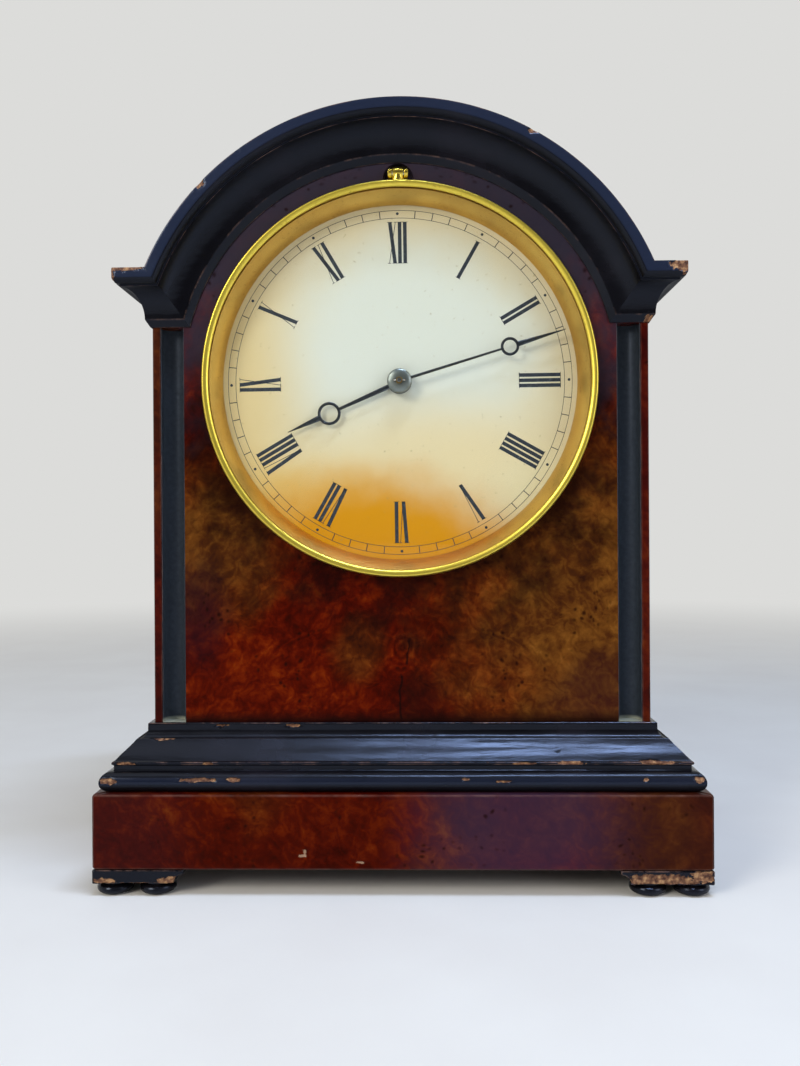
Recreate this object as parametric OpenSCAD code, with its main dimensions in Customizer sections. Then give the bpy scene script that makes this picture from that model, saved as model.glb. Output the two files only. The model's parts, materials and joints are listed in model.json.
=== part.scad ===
// Arched mantel timepiece: a veneered wooden case with black mouldings, a glazed brass
// bezel hinged at its top, and an eight-day movement that is wound and set from the back.
// Millimetres, +Z up, the dial faces -Y, and the floor under the feet is z = 0.

/* [Plinth and feet] */
// How far the plinth stands out beyond each side of the case
plinth_reach = 15.1; // [14:0.1:17]
// Depth of the plinth from front to back
plinth_d = 106; // [100:1:120]
// Height of the plinth boards
plinth_h = 22.5; // [18:0.5:28]
// Thickness of the plinth boards
plinth_t = 9; // [7:0.5:11]
// How far the plinth stands out in front of the dial panel
plinth_step = 14.7; // [13.6:0.1:16]
// Thickness of the board that closes the bottom of the case
base_board_t = 8; // [6:0.5:10]
// Height of the L-shaped bracket feet
bracket_h = 4.2; // [3.4:0.1:6]
// Length of each arm of a bracket foot
bracket_len = 27.5; // [26:0.5:32]
// Width of each arm of a bracket foot
bracket_w = 13; // [12:0.5:15]
// Height of the turned glides under the feet
glide_h = 3.8; // [3:0.1:5]
// Diameter of a turned glide
glide_d = 11; // [9:0.5:12]
// Spacing of the glides along an arm
glide_pitch = 13; // [12.5:0.5:14]
// Distance of the corner glide from the outer faces of its foot
glide_inset = 5.6; // [5.5:0.1:7]

/* [Case body] */
// Width of the panel left on each side of the bezel
panel_margin = 5.9; // [5:0.1:8]
// Thickness of the side boards
side_t = 8; // [7:0.5:9]
// Thickness of the arched front panel
panel_t = 8; // [7:0.5:9]
// Width of the wooden lip at each front corner
lip_w = 2.6; // [2:0.1:3.2]
// Width of the hollow strip beside the panel
hollow_w = 7.3; // [6.5:0.1:8]
// Narrow land on each side of the hollow
hollow_land = 0.2; // [0.1:0.05:0.4]
// Straight part of the hollow's depth, in front of its round bottom
hollow_straight = 1.5; // [1:0.1:2]
// Height of the dial centre above the plinth
dial_rise = 125.5; // [124:0.5:130]
// Height of the cornice's lower edge above the dial centre
cornice_rise = 17; // [14:0.5:20]
// Thickness of the arched roof
roof_t = 8; // [6:0.5:8]
// Thickness of the back frame and of the back door
back_t = 6; // [5:0.5:7]

/* [Mouldings] */
// Height of the base moulding
base_h = 18.9; // [17:0.1:20]
// How far the base moulding projects from the case
base_p = 13.4; // [12:0.1:13.5]
// Height of the cornice and width of the arch moulding
cornice_h = 16.5; // [16:0.1:17.5]
// How far the cornice and the arch moulding project from the case
cornice_p = 10; // [8:0.1:11]

/* [Back door] */
// Radius of the arched door opening, and half of its width
door_r = 53; // [50:0.5:55]
// Height of the door opening's sill above the plinth
door_sill = 28; // [24:1:34]
// Running gap around the door
door_gap = 0.4; // [0.3:0.05:0.6]
// Length of each door hinge
door_hinge_len = 14; // [10:1:18]
// Width of one leaf of a door hinge
door_leaf_w = 7; // [5:0.5:8]
// Thickness of a hinge leaf
leaf_t = 0.8; // [0.6:0.1:1]
// Radius of the door hinges' knuckles
door_knuckle_r = 1.3; // [1.2:0.1:1.5]
// Radius of the door hinge pins
door_pin_r = 0.6; // [0.5:0.05:0.7]
// How far the door knob stands out from the back
knob_out = 6; // [5:0.5:8]
// Diameter of the door knob
knob_d = 8; // [7:0.5:10]
// Radius of the knob's stem in the door
knob_stem_r = 1.5; // [1.2:0.1:2]
// Distance of the door knob from the edge of the door's opening
knob_inset = 8; // [7:0.5:12]
// Distance of the door knob below the dial centre
knob_drop = 20; // [10:1:30]

/* [Bezel and dial] */
// Radius of the dial left visible by the sight ring
dial_seen_r = 56.2; // [50:0.1:62]
// Width of the sight ring seen from the front
sight_w = 3.1; // [2.4:0.1:4]
// Width of the bezel's polished rim seen from the front
bezel_rim = 2.3; // [1.9:0.1:2.8]
// Depth of the bezel ring
bezel_deep = 3.2; // [2.8:0.1:4]
// Thickness of the lip that holds the glass from the front
bezel_lip = 0.9; // [0.6:0.1:1.2]
// Wall between the glass and the outside of the bezel
bezel_wall = 1.1; // [0.9:0.1:1.3]
// Thickness of the flat glass
glass_t = 1.5; // [1.2:0.1:1.8]
// Thickness of the sight ring's sheet
sight_t = 0.6; // [0.4:0.1:0.7]
// How far the dial lies behind the panel face
dial_recess = 5.5; // [5:0.1:6]
// Thickness of the painted brass dial
dial_t = 1; // [0.8:0.1:1.2]
// Margin of the dial hidden under the sight ring
dial_margin = 2.3; // [1.8:0.1:2.6]
// Clearance between the dial and the hole in the panel
dial_clear = 1.5; // [1:0.1:2]
// Width of the flange that fastens the dial pan to the panel
pan_flange = 6; // [5:0.5:6.5]
// Thickness of the dial pan's sheet
pan_t = 1.2; // [1:0.1:1.5]
// Distance of the dial's feet from its centre
dial_foot_at = 30; // [26:1:32]
// Width of the ring that the dial rests on
pan_seat_w = 8; // [6:0.5:10]
// Height of the bezel hinge's axis above the bezel's edge
bezel_hinge_up = 2.3; // [2.1:0.1:2.6]
// Distance of the bezel hinge's axis in front of the panel face
bezel_hinge_out = 1; // [0.8:0.1:1.4]
// Radius of the bezel hinge's knuckle
bezel_knuckle_r = 2; // [1.8:0.1:2]
// Width of the bezel hinge's middle knuckle
bezel_knuckle_w = 3.2; // [2.8:0.2:3.8]
// Width of each fixed ear beside that knuckle
hinge_ear_w = 1.2; // [1:0.1:1.4]
// Radius of the bezel hinge's pin
bezel_pin_r = 0.8; // [0.6:0.05:0.9]
// Width of the notch in the panel for the bezel hinge
notch_w = 9.4; // [9.2:0.1:10.2]
// Depth of the notch in the panel
notch_deep = 4.5; // [4.2:0.1:5]
// Thickness of the hinge block's plate
hinge_plate_t = 1.2; // [1:0.1:1.5]

/* [Hands] */
// Free space between the minute hand's tip and the edge of the visible dial
minute_gap = 1.7; // [1:0.1:3]
// Distance of the minute hand's ring from its centre
minute_ring_at = 36.3; // [33:0.1:38]
// Outer radius of the minute hand's ring
minute_ring_r = 2.9; // [2.5:0.05:3.2]
// Length of the hour hand from its centre
hour_len = 38.7; // [36:0.1:41]
// Distance of the hour hand's ring from its centre
hour_ring_at = 24.4; // [23:0.1:26]
// Outer radius of the hour hand's ring
hour_ring_r = 3.65; // [3.2:0.05:4]
// Radius of the domed collet in front of the hands
collet_r = 3.85; // [3.4:0.05:4.2]
// Thickness of the hands
hand_t = 0.6; // [0.5:0.05:0.8]
// Minutes shown after eight o'clock
minutes_shown = 12.2; // [0:0.1:59]

/* [Movement] */
// Diameter of the movement plates
plate_d = 84; // [82:1:90]
// Thickness of the movement plates
plate_t = 2; // [1.6:0.1:2.2]
// Distance between the movement plates
plate_gap = 22; // [22:0.1:24]
// Distance between the dial pan and the front plate, for the motion work
motion_gap = 6.1; // [6.1:0.1:7]
// Distance of the barrel below the centre
barrel_drop = 23; // [22.8:0.1:23.6]
// Outer radius of the barrel drum
drum_r = 16.2; // [15.6:0.1:16.4]
// Length of the barrel drum
drum_len = 12.2; // [11:0.1:12.4]
// Wall of the barrel drum
drum_wall = 1; // [0.8:0.1:1.2]
// Width across the winding square
winding_square = 3.5; // [3:0.25:3.5]
// Width across the hand-setting square
setting_square = 2; // [1.6:0.1:2]
// How far the squares stand out behind the back plate
square_out = 12; // [11.5:0.5:16]
// Distance between the back plate and the balance cock
cock_gap = 8; // [8:0.1:9]
// Radius of the balance rim
balance_r = 7.6; // [7:0.1:7.8]
// Radius of a plate pillar
pillar_r = 2.5; // [2:0.1:3]

/* [Fits] */
// Running clearance of a shaft in its hole, on the radius
run = 0.05; // [0.03:0.01:0.08]
// Clearance of a fixed piece in its hole, on the radius
seat = 0.02; // [0.01:0.005:0.04]
// Free space between pieces that move past each other
free = 0.3; // [0.3:0.05:0.4]

/* [Hidden] */
$fn = 64;

walnut = "saddlebrown";
ebonised = "dimgray";
brass = "goldenrod";
steel = "slategray";

// Heights
bracket_z = glide_h;
plinth_z = bracket_z + bracket_h;
case_z = plinth_z + plinth_h;
dial_z = case_z + dial_rise;
cornice_z = dial_z + cornice_rise;
cornice_top = cornice_z + cornice_h;

// Depths: the plinth's front and the door knob's end are equally far from the origin
plinth_y = -(plinth_d + knob_out) / 2;
back_y = plinth_y + plinth_d;
panel_y = plinth_y + plinth_step;
panel_back_y = panel_y + panel_t;

// Widths of the case front, counted outwards from the dial
dial_r = dial_seen_r + dial_margin;
opening_r = dial_seen_r + sight_w;
bezel_r = opening_r + bezel_rim;
panel_x = bezel_r + panel_margin;
lip_x = panel_x + hollow_w;
body_x = lip_x + lip_w;
inner_x = body_x - side_t;
plinth_w = 2 * (body_x + plinth_reach);
arch_r = panel_x + cornice_h;
vault_r = arch_r - roof_t;
side_top = dial_z + sqrt(vault_r * vault_r - inner_x * inner_x);

// Where the arch moulding meets the level cornice, at its lower and upper edges
mitre_low_x = sqrt(panel_x * panel_x - cornice_rise * cornice_rise);
mitre_high_x = sqrt(arch_r * arch_r - (cornice_rise + cornice_h) * (cornice_rise + cornice_h));

// A point on the mitre of one side: t is 0 at its lower edge and 1 at its upper edge
function on_mitre(side, t) = [side * (mitre_low_x + t * (mitre_high_x - mitre_low_x)),
    cornice_z + t * cornice_h];

// Bezel, glass and dial, counted from the panel face towards the front
bezel_back_y = panel_y - free;
bezel_front_y = bezel_back_y - bezel_deep;
glass_front_y = bezel_front_y + bezel_lip;
glass_back_y = glass_front_y + glass_t;
glass_r = bezel_r - bezel_wall - seat;
panel_hole_r = dial_r + dial_clear;
dial_y = panel_y + dial_recess;
seat_y = dial_y + dial_t;
pan_y = panel_back_y;
pan_back_y = pan_y + pan_t;
sight_back_y = dial_y - free;
hinge_y = panel_y - bezel_hinge_out;
hinge_z = dial_z + bezel_r + bezel_hinge_up;
hinge_half_w = bezel_knuckle_w / 2 + free + hinge_ear_w;
screw_ring_r = panel_hole_r + pan_flange / 2;

// Hands, from the dial towards the glass
hour_pipe_r = 2.4;
cannon_r = 1.6;
cannon_nose_r = 1.3;
centre_front_r = 1;
dial_bore_r = hour_pipe_r + 2 * free;
hour_hand_y = dial_y - 1.3;
hour_front_y = hour_hand_y - hand_t;
minute_hand_y = hour_front_y - 1;
minute_front_y = minute_hand_y - hand_t;
collet_t = 1.2;
minute_len = dial_seen_r - minute_gap;
minute_angle = minutes_shown * 6;
hour_angle = 240 + minutes_shown / 2;

// Movement planes
front_plate_y = pan_back_y + motion_gap;
train_y = front_plate_y + plate_t;
back_plate_y = train_y + plate_gap;
rear_y = back_plate_y + plate_t;
cock_y = rear_y + cock_gap;
cock_t = 1.5;
plate_r = plate_d / 2;
end_shake = 0.3;

// Wheel work: tooth counts and modules
cannon_teeth = 12;
minute_teeth = 36;
motion_module = 0.5;
minute_leaves = 10;
hour_teeth = 40;
hour_module = 0.48;
great_teeth = 84;
inter_leaves = 12;
great_module = 0.42;
inter_teeth = 64;
centre_leaves = 12;
inter_module = 0.45;
centre_teeth = 80;
third_leaves = 10;
centre_module = 0.38;
third_teeth = 75;
fourth_leaves = 10;
third_module = 0.36;
fourth_teeth = 100;
escape_leaves = 10;
fourth_module = 0.25;
pressure = 25;
tooth_thin = 0.05;

// Centres in the plane of the plates, [x, z] from the dial centre
function mesh_distance(a, b, m) = (a + b) * m / 2;
function toward(p, angle, distance) = p + distance * [cos(angle), sin(angle)];
motion_distance = mesh_distance(cannon_teeth, minute_teeth, motion_module);
inter_from_barrel = mesh_distance(great_teeth, inter_leaves, great_module);
inter_from_centre = mesh_distance(inter_teeth, centre_leaves, inter_module);
third_distance = mesh_distance(centre_teeth, third_leaves, centre_module);
fourth_distance = mesh_distance(third_teeth, fourth_leaves, third_module);
escape_distance = mesh_distance(fourth_teeth, escape_leaves, fourth_module);
inter_swing = acos((pow(inter_from_centre, 2) + pow(barrel_drop, 2) - pow(inter_from_barrel, 2))
    / (2 * inter_from_centre * barrel_drop));
inter_direction = inter_swing - 90;
third_direction = 75;
fourth_direction = 188;
escape_direction = 110;
platform_direction = -5;
centre_at = [0, 0];
motion_at = [-motion_distance, 0];
barrel_at = [0, -barrel_drop];
inter_at = toward(centre_at, inter_direction, inter_from_centre);
third_at = toward(centre_at, third_direction, third_distance);
fourth_at = toward(third_at, fourth_direction, fourth_distance);
escape_at = toward(fourth_at, escape_direction, escape_distance);
escape_r = 6.3;
lever_distance = 8.2;
balance_distance = balance_r + 1.2;
lever_at = toward(escape_at, platform_direction, lever_distance);
balance_at = toward(lever_at, platform_direction, balance_distance);
cock_foot_r = 2.5;
cock_feet = [toward(escape_at, platform_direction, -(escape_r + cock_foot_r + 1.2)),
    toward(balance_at, platform_direction, balance_r + cock_foot_r + 1.9)];
pillar_ring_r = plate_r - 4;
pillars_at = [for (a = [20, 160, 200, 340]) toward([0, 0], a, pillar_ring_r)];
posts_at = [for (a = [45, 135, 225, 315]) toward([0, 0], a, plate_r - 6)];
post_r = 2.5;
screw_r = 0.9;
screw_head_r = 1.8;
screw_head_t = 1;

// Layers between the plates, counted from the front plate
layer_centre = train_y + 0.9;
layer_great = train_y + 3.2;
layer_drum = layer_great + 1.6;
layer_drum_end = layer_drum + drum_len;
layer_inter = back_plate_y - 4;
layer_third = train_y + 11.8;
layer_fourth = train_y + 8;
layer_escape = rear_y + 2.2;
wheel_t = 1.2;

// Shafts
barrel_shaft_r = winding_square / sqrt(2) + 0.03;
barrel_front_r = 1.5;
centre_shaft_r = setting_square / sqrt(2) + 0.09;
inter_pivot_r = 0.7;
third_pivot_r = 0.5;
fourth_pivot_r = 0.45;
escape_pivot_r = 0.35;
fine_pivot_r = 0.3;
stud_r = 0.8;

// Ratchet and click
ratchet_teeth = 24;
ratchet_r = 6;
ratchet_deep = 1;
ratchet_y = rear_y + 0.5;
ratchet_t = 1.2;
click_slope = 147;
click_len = 9;
click_tip = [-0.3, ratchet_r - 0.2];
click_at = toward(click_tip, click_slope, click_len);

// Angle of a tooth centre of each wheel, chosen so that the teeth mesh at rest
function meshed(direction, rot, z1, z2) =
    direction + 180 + 180 / z2 - (rot - direction) * z1 / z2;
cannon_rot = 90;
minute_wheel_rot = meshed(180, cannon_rot, cannon_teeth, minute_teeth);
minute_pinion_rot = 0;
hour_wheel_rot = meshed(0, minute_pinion_rot, minute_leaves, hour_teeth);
centre_pinion_rot = 90;
centre_wheel_rot = 90;
inter_wheel_rot = meshed(inter_direction, centre_pinion_rot, centre_leaves, inter_teeth);
inter_pinion_rot = 0;
barrel_direction = atan2(barrel_at[1] - inter_at[1], barrel_at[0] - inter_at[0]);
great_rot = meshed(barrel_direction, inter_pinion_rot, inter_leaves, great_teeth);
third_pinion_rot = meshed(third_direction, centre_wheel_rot, centre_teeth, third_leaves);
third_wheel_rot = 0;
fourth_pinion_rot = meshed(fourth_direction, third_wheel_rot, third_teeth, fourth_leaves);
fourth_wheel_rot = 0;
escape_pinion_rot = meshed(escape_direction, fourth_wheel_rot, fourth_teeth, escape_leaves);

// A flat outline drawn in x and z, made solid from y0 to y1
module slab(y0, y1) {
    translate([0, y1, 0]) rotate([90, 0, 0]) linear_extrude(y1 - y0) children();
}

// The same, placed in the movement, whose outlines count from the dial centre
module movement_slab(y0, y1, at = [0, 0]) {
    slab(y0, y1) translate([at[0], dial_z + at[1]]) children();
}

// A round bar along y in the movement
module bar(y0, y1, r, at = [0, 0]) {
    translate([at[0], y1, dial_z + at[1]]) rotate([90, 0, 0]) cylinder(h = y1 - y0, r = r);
}

// A turned piece about an axis along y, from a profile of radius and y
module turned(at = [0, 0]) {
    translate([at[0], 0, dial_z + at[1]]) rotate([90, 0, 0]) mirror([0, 0, 1])
        rotate_extrude($fn = 96) children();
}

// A round bar along x
module cross_bar(x0, x1, y, z, r) {
    translate([x0, y, z]) rotate([0, 90, 0]) cylinder(h = x1 - x0, r = r);
}

// A block given by its limits
module block(x0, x1, y0, y1, z0, z1) {
    translate([x0, y0, z0]) cube([x1 - x0, y1 - y0, z1 - z0]);
}

module mirrored_x(side) {
    if (side > 0) children();
    else mirror([1, 0, 0]) children();
}

// Feet

module glide(at) {
    glide_r = glide_d / 2;
    neck_r = glide_r - 1.4;
    translate([at[0], at[1], 0]) rotate_extrude($fn = 48)
        polygon(concat([[0, glide_h], [0, 0], [glide_r - 2.2, 0]],
            [for (a = [-60:20:70]) [glide_r - 1.3 + 1.3 * cos(a), glide_h * 0.45 + 1.3 * sin(a)]],
            [[neck_r, glide_h - 0.5], [neck_r, glide_h]]));
}

module each_corner() {
    middle_y = plinth_y + plinth_d / 2;
    for (side_x = [-1, 1], side_y = [-1, 1])
        translate([side_x < 0 ? -plinth_w / 2 : plinth_w / 2, middle_y + side_y * plinth_d / 2, 0])
            mirror([side_x < 0 ? 0 : 1, 0, 0]) mirror([0, side_y < 0 ? 0 : 1, 0]) children();
}

module foot_glides() {
    color(ebonised) each_corner() {
        glide([glide_inset, glide_inset]);
        glide([glide_inset + glide_pitch, glide_inset]);
        glide([glide_inset, glide_inset + glide_pitch]);
    }
}

// An L of two arms, with a small hollow under the end of each arm
module foot_brackets() {
    hollow_r = bracket_h * 0.7;
    color(ebonised) each_corner() translate([0, 0, bracket_z]) difference() {
        linear_extrude(bracket_h) polygon([[0, 0], [bracket_len, 0], [bracket_len, bracket_w],
            [bracket_w, bracket_w], [bracket_w, bracket_len], [0, bracket_len]]);
        translate([bracket_len, -1, 0]) rotate([-90, 0, 0])
            cylinder(h = bracket_w + 2, r = hollow_r, $fn = 32);
        translate([-1, bracket_len, 0]) rotate([0, 90, 0])
            cylinder(h = bracket_w + 2, r = hollow_r, $fn = 32);
    }
}

// Plinth

module plinth_board(length) {
    half = length / 2;
    linear_extrude(plinth_h) polygon([[-half, 0], [half, 0],
        [half - plinth_t, plinth_t], [-half + plinth_t, plinth_t]]);
}

module plinth_front() {
    color(walnut) translate([0, plinth_y, plinth_z]) plinth_board(plinth_w);
}

module plinth_back() {
    color(walnut) translate([0, back_y, plinth_z]) rotate([0, 0, 180]) plinth_board(plinth_w);
}

module plinth_end(side) {
    color(walnut) mirrored_x(side) translate([plinth_w / 2, plinth_y + plinth_d / 2, plinth_z])
        rotate([0, 0, 90]) plinth_board(plinth_d);
}

module base_board() {
    inside_x = plinth_w / 2 - plinth_t;
    color(walnut) block(-inside_x, inside_x, plinth_y + plinth_t, back_y - plinth_t,
        case_z - base_board_t, case_z);
}

// Mouldings: profiles of projection and height, which a straight or curved length follows

function arc(c, r, a0, a1, n = 7) = [for (i = [0:n]) let (a = a0 + (a1 - a0) * i / n)
    c + r * [cos(a), sin(a)]];
function s_curve(p, q, wave, n = 10) = [for (i = [0:n]) let (t = i / n)
    [p[0] + (q[0] - p[0]) * t, p[1] + (q[1] - p[1]) * (t + wave * sin(360 * t))]];

// From the bottom: half round, quirk, fillet, ogee, arris, hollow and top fillet
torus_r = 3.05;
module base_profile() {
    fillet_z = 2 * torus_r + 0.4;
    top_fillet = 2;
    ogee_top = base_h - top_fillet - 2.3;
    top_p = 1.6;
    hollow_end = 4.3;
    // How far the ogee bows, as a share of its height
    ogee_wave = 0.07;
    polygon(concat([[0, 0], [base_p - torus_r, 0]],
        arc([base_p - torus_r, torus_r], torus_r, -90, 80),
        [[base_p - 3.6, 2 * torus_r], [base_p - 3.6, fillet_z + 1.2], [base_p - 3, fillet_z + 1.4],
            [base_p - 3, fillet_z + 2.2]],
        s_curve([base_p - 3.8, fillet_z + 2.4], [hollow_end, ogee_top], ogee_wave),
        arc([hollow_end, base_h - top_fillet], hollow_end - top_p, -90, -180, 5),
        [[top_p, base_h - 0.4], [top_p - 0.4, base_h], [0, base_h]]));
}

// From the bottom: chamfer, hollow, step, quarter round and top fillet
module cornice_profile() {
    fillet = 3;
    round_h = 1.7;
    step_p = cornice_p - 2.2;
    hollow_top = cornice_h - fillet - round_h - 0.6;
    hollow_low = 2.2;
    polygon(concat([[0, 0], [0.4, 0], [1.8, hollow_low]],
        [for (i = [1:9]) let (a = 90 * i / 9)
            [1.8 + (step_p - 0.4 - 1.8) * (1 - cos(a)),
                hollow_low + (hollow_top - hollow_low) * sin(a)]],
        [[step_p, hollow_top], [step_p, hollow_top + 0.6]],
        [for (i = [1:5]) let (a = 90 * i / 5)
            [step_p + 2.2 * sin(a), hollow_top + 0.6 + round_h * (1 - cos(a))]],
        [[cornice_p, cornice_h - 0.4], [cornice_p - 0.4, cornice_h], [0, cornice_h]]));
}

// A front length along x, its profile pointing forward from y = 0, between two mitres
module front_length(half, reach, height) {
    intersection() {
        translate([-half - reach, 0, 0]) rotate([90, 0, 90]) mirror([1, 0, 0])
            linear_extrude(2 * (half + reach)) children();
        linear_extrude(height) polygon([[-half, 0], [half, 0],
            [half + reach, -reach], [-half - reach, -reach]]);
    }
}

// A side length along y on the +x side, mitred at the front and square at the back
module side_length(half, length, reach, height) {
    intersection() {
        translate([half, length, 0]) rotate([90, 0, 0]) linear_extrude(length + reach) children();
        linear_extrude(height) polygon([[half, 0], [half, length],
            [half + reach, length], [half + reach, -reach]]);
    }
}

module base_moulding_front() {
    color(ebonised) translate([0, panel_y, case_z]) front_length(body_x, base_p, base_h)
        base_profile();
}

module base_moulding_side(side) {
    color(ebonised) mirrored_x(side) translate([0, panel_y, case_z])
        side_length(body_x, back_y - panel_y, base_p, base_h) base_profile();
}

module cornice_side(side) {
    color(ebonised) mirrored_x(side) translate([0, panel_y, cornice_z])
        side_length(body_x, back_y - panel_y, cornice_p, cornice_h) cornice_profile();
}

module cornice_front(side) {
    color(ebonised) mirrored_x(side) intersection() {
        translate([0, panel_y, cornice_z]) front_length(body_x, cornice_p, cornice_h)
            cornice_profile();
        slab(panel_y - 2 * cornice_p, panel_y + 1)
            polygon([on_mitre(1, 0), [plinth_w, cornice_z], [plinth_w, cornice_top],
                on_mitre(1, 1)]);
    }
}

module arch_moulding() {
    color(ebonised) intersection() {
        translate([0, panel_y, dial_z]) rotate([90, 0, 0]) rotate_extrude($fn = 128)
            translate([panel_x, 0]) mirror([1, -1, 0]) cornice_profile();
        slab(panel_y - 2 * cornice_p, panel_y + 1)
            polygon([on_mitre(-1, 6), on_mitre(-1, -1), on_mitre(1, -1), on_mitre(1, 6)]);
    }
}

// Case boards

module side_board(side) {
    color(walnut) mirrored_x(side) difference() {
        block(inner_x, body_x, panel_y, back_y, case_z, side_top);
        block(inner_x - 1, lip_x, panel_y - 1, panel_back_y, case_z - 1, cornice_z);
    }
}

// A strip with a round-bottomed hollow above the base moulding
module corner_hollow(side) {
    hollow_r = hollow_w / 2 - hollow_land;
    middle_x = (panel_x + lip_x) / 2;
    round_y = panel_y + hollow_straight;
    color(ebonised) mirrored_x(side) difference() {
        block(panel_x, lip_x, panel_y, panel_back_y, case_z, cornice_z);
        translate([middle_x, round_y, case_z + base_h]) cylinder(h = cornice_z, r = hollow_r);
        block(middle_x - hollow_r, middle_x + hollow_r, panel_y - 1, round_y,
            case_z + base_h, 2 * cornice_z);
    }
}

module arched_outline(half_width, radius, low) {
    translate([-half_width, low]) square([2 * half_width, dial_z - low]);
    intersection() {
        translate([0, dial_z]) circle(radius, $fn = 128);
        translate([-half_width, dial_z]) square([2 * half_width, radius + 1]);
    }
}

module front_panel() {
    color(walnut) difference() {
        union() {
            slab(panel_y, panel_back_y) translate([-panel_x, case_z])
                square([2 * panel_x, cornice_z - case_z]);
            slab(panel_y, panel_back_y) intersection() {
                translate([0, dial_z]) circle(vault_r, $fn = 128);
                translate([-inner_x, cornice_z]) square([2 * inner_x, vault_r]);
            }
        }
        bar(panel_y - 1, panel_back_y + 1, panel_hole_r);
        // Arch-topped notch for the bezel's hinge
        slab(panel_y - 1, panel_y + notch_deep) {
            translate([-notch_w / 2, dial_z]) square([notch_w, hinge_z - dial_z - 1.1]);
            translate([0, hinge_z - 1.1]) circle(notch_w / 2);
        }
        for (a = [45:90:315]) bar(pan_y - 5 - seat, pan_y + 1, screw_r + seat,
            toward([0, 0], a, screw_ring_r));
    }
}

module roof() {
    color(walnut) slab(panel_y, back_y) intersection() {
        translate([0, dial_z]) difference() {
            circle(arch_r, $fn = 128);
            circle(vault_r, $fn = 128);
        }
        translate([-body_x, side_top]) square([2 * body_x, arch_r]);
    }
}

// Back frame and door

sill_z = case_z + door_sill;
door_axis_x = door_r - door_gap / 2;
door_axis_y = back_y + door_knuckle_r + 0.1;
door_hinges_z = [sill_z + 12, dial_z - door_hinge_len - 10];
knob_x = -door_r + knob_inset;
knob_z = dial_z - knob_drop;

module back_frame() {
    color(walnut) slab(back_y - back_t, back_y) difference() {
        arched_outline(inner_x, vault_r, case_z);
        arched_outline(door_r, door_r, sill_z);
    }
}

module back_door() {
    leaf_r = door_r - door_gap;
    color(walnut) difference() {
        slab(back_y - back_t, back_y) arched_outline(leaf_r, leaf_r, sill_z + door_gap);
        translate([knob_x, back_y + 1, knob_z]) rotate([90, 0, 0])
            cylinder(h = back_t + 2, r = knob_stem_r + seat);
    }
}

module door_knob() {
    r = knob_d / 2;
    color(brass) translate([knob_x, back_y, knob_z]) rotate([-90, 0, 0])
        rotate_extrude($fn = 48) polygon(concat(
            [[0, -back_t], [knob_stem_r, -back_t], [knob_stem_r, 0], [r - 1, 0], [r - 1, 0.6],
                [knob_stem_r + 0.3, 1.2], [knob_stem_r + 0.3, knob_out - 3]],
            [for (a = [-60:30:60]) [r - 1.5 + 1.5 * cos(a), knob_out - 1.5 + 1.5 * sin(a)]],
            [[r - 1.5, knob_out], [0, knob_out]]));
}

// Each hinge has three knuckles: the outer two belong to the fixed leaf
knuckle_len = door_hinge_len / 3;

module knuckle(z0, z1) {
    translate([door_axis_x, door_axis_y, z0]) cylinder(h = z1 - z0, r = door_knuckle_r);
}

module hinge_bore() {
    for (z = door_hinges_z) translate([door_axis_x, door_axis_y, z - 1])
        cylinder(h = door_hinge_len + 2, r = door_pin_r + run);
}

module door_hinge_leaves() {
    color(brass) difference() {
        for (z = door_hinges_z) {
            block(door_axis_x + door_knuckle_r + free, door_axis_x + door_leaf_w,
                back_y, back_y + leaf_t, z, z + door_hinge_len);
            for (low = [z, z + 2 * knuckle_len + free / 2]) {
                high = low + knuckle_len - free / 2;
                knuckle(low, high);
                block(door_axis_x, door_axis_x + door_leaf_w, back_y + 0.1, back_y + leaf_t,
                    low, high);
            }
        }
        hinge_bore();
    }
}

module door_hinge_straps() {
    color(brass) difference() {
        for (z = door_hinges_z) {
            low = z + knuckle_len + free / 2;
            high = z + 2 * knuckle_len - free / 2;
            block(door_axis_x - door_leaf_w, door_axis_x - door_knuckle_r - free,
                back_y, back_y + leaf_t, z, z + door_hinge_len);
            knuckle(low, high);
            block(door_axis_x - door_leaf_w, door_axis_x, back_y + 0.1, back_y + leaf_t, low, high);
        }
        hinge_bore();
    }
}

module door_hinge_pins() {
    color(steel) for (z = door_hinges_z) translate([door_axis_x, door_axis_y, z - 0.5]) {
        cylinder(h = door_hinge_len + 0.5, r = door_pin_r);
        cylinder(h = 0.5, r = door_pin_r + 0.4);
    }
}

// Bezel

module bezel_ring() {
    groove_r = bezel_r - bezel_wall;
    color(brass) difference() {
        union() {
            turned() polygon(concat(
                [[groove_r, bezel_back_y], [bezel_r, bezel_back_y], [bezel_r, bezel_front_y + 1.1]],
                [for (i = [1:6]) let (a = 90 * i / 6)
                    [bezel_r - 1.1 + 1.1 * cos(a), bezel_front_y + 1.1 - 1.1 * sin(a)]],
                [[opening_r + 0.3, bezel_front_y], [opening_r, bezel_front_y + 0.3],
                    [opening_r, glass_front_y], [groove_r, glass_front_y]]));
            cross_bar(-bezel_knuckle_w / 2, bezel_knuckle_w / 2, hinge_y, hinge_z, bezel_knuckle_r);
            block(-bezel_knuckle_w / 2, bezel_knuckle_w / 2, bezel_front_y + 0.8, bezel_back_y,
                dial_z + groove_r + 0.4, hinge_z);
        }
        cross_bar(-notch_w, notch_w, hinge_y, hinge_z, bezel_pin_r + run);
    }
}

module bezel_glass() {
    color("lightblue", 0.35) bar(glass_front_y, glass_back_y, glass_r);
}

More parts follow.
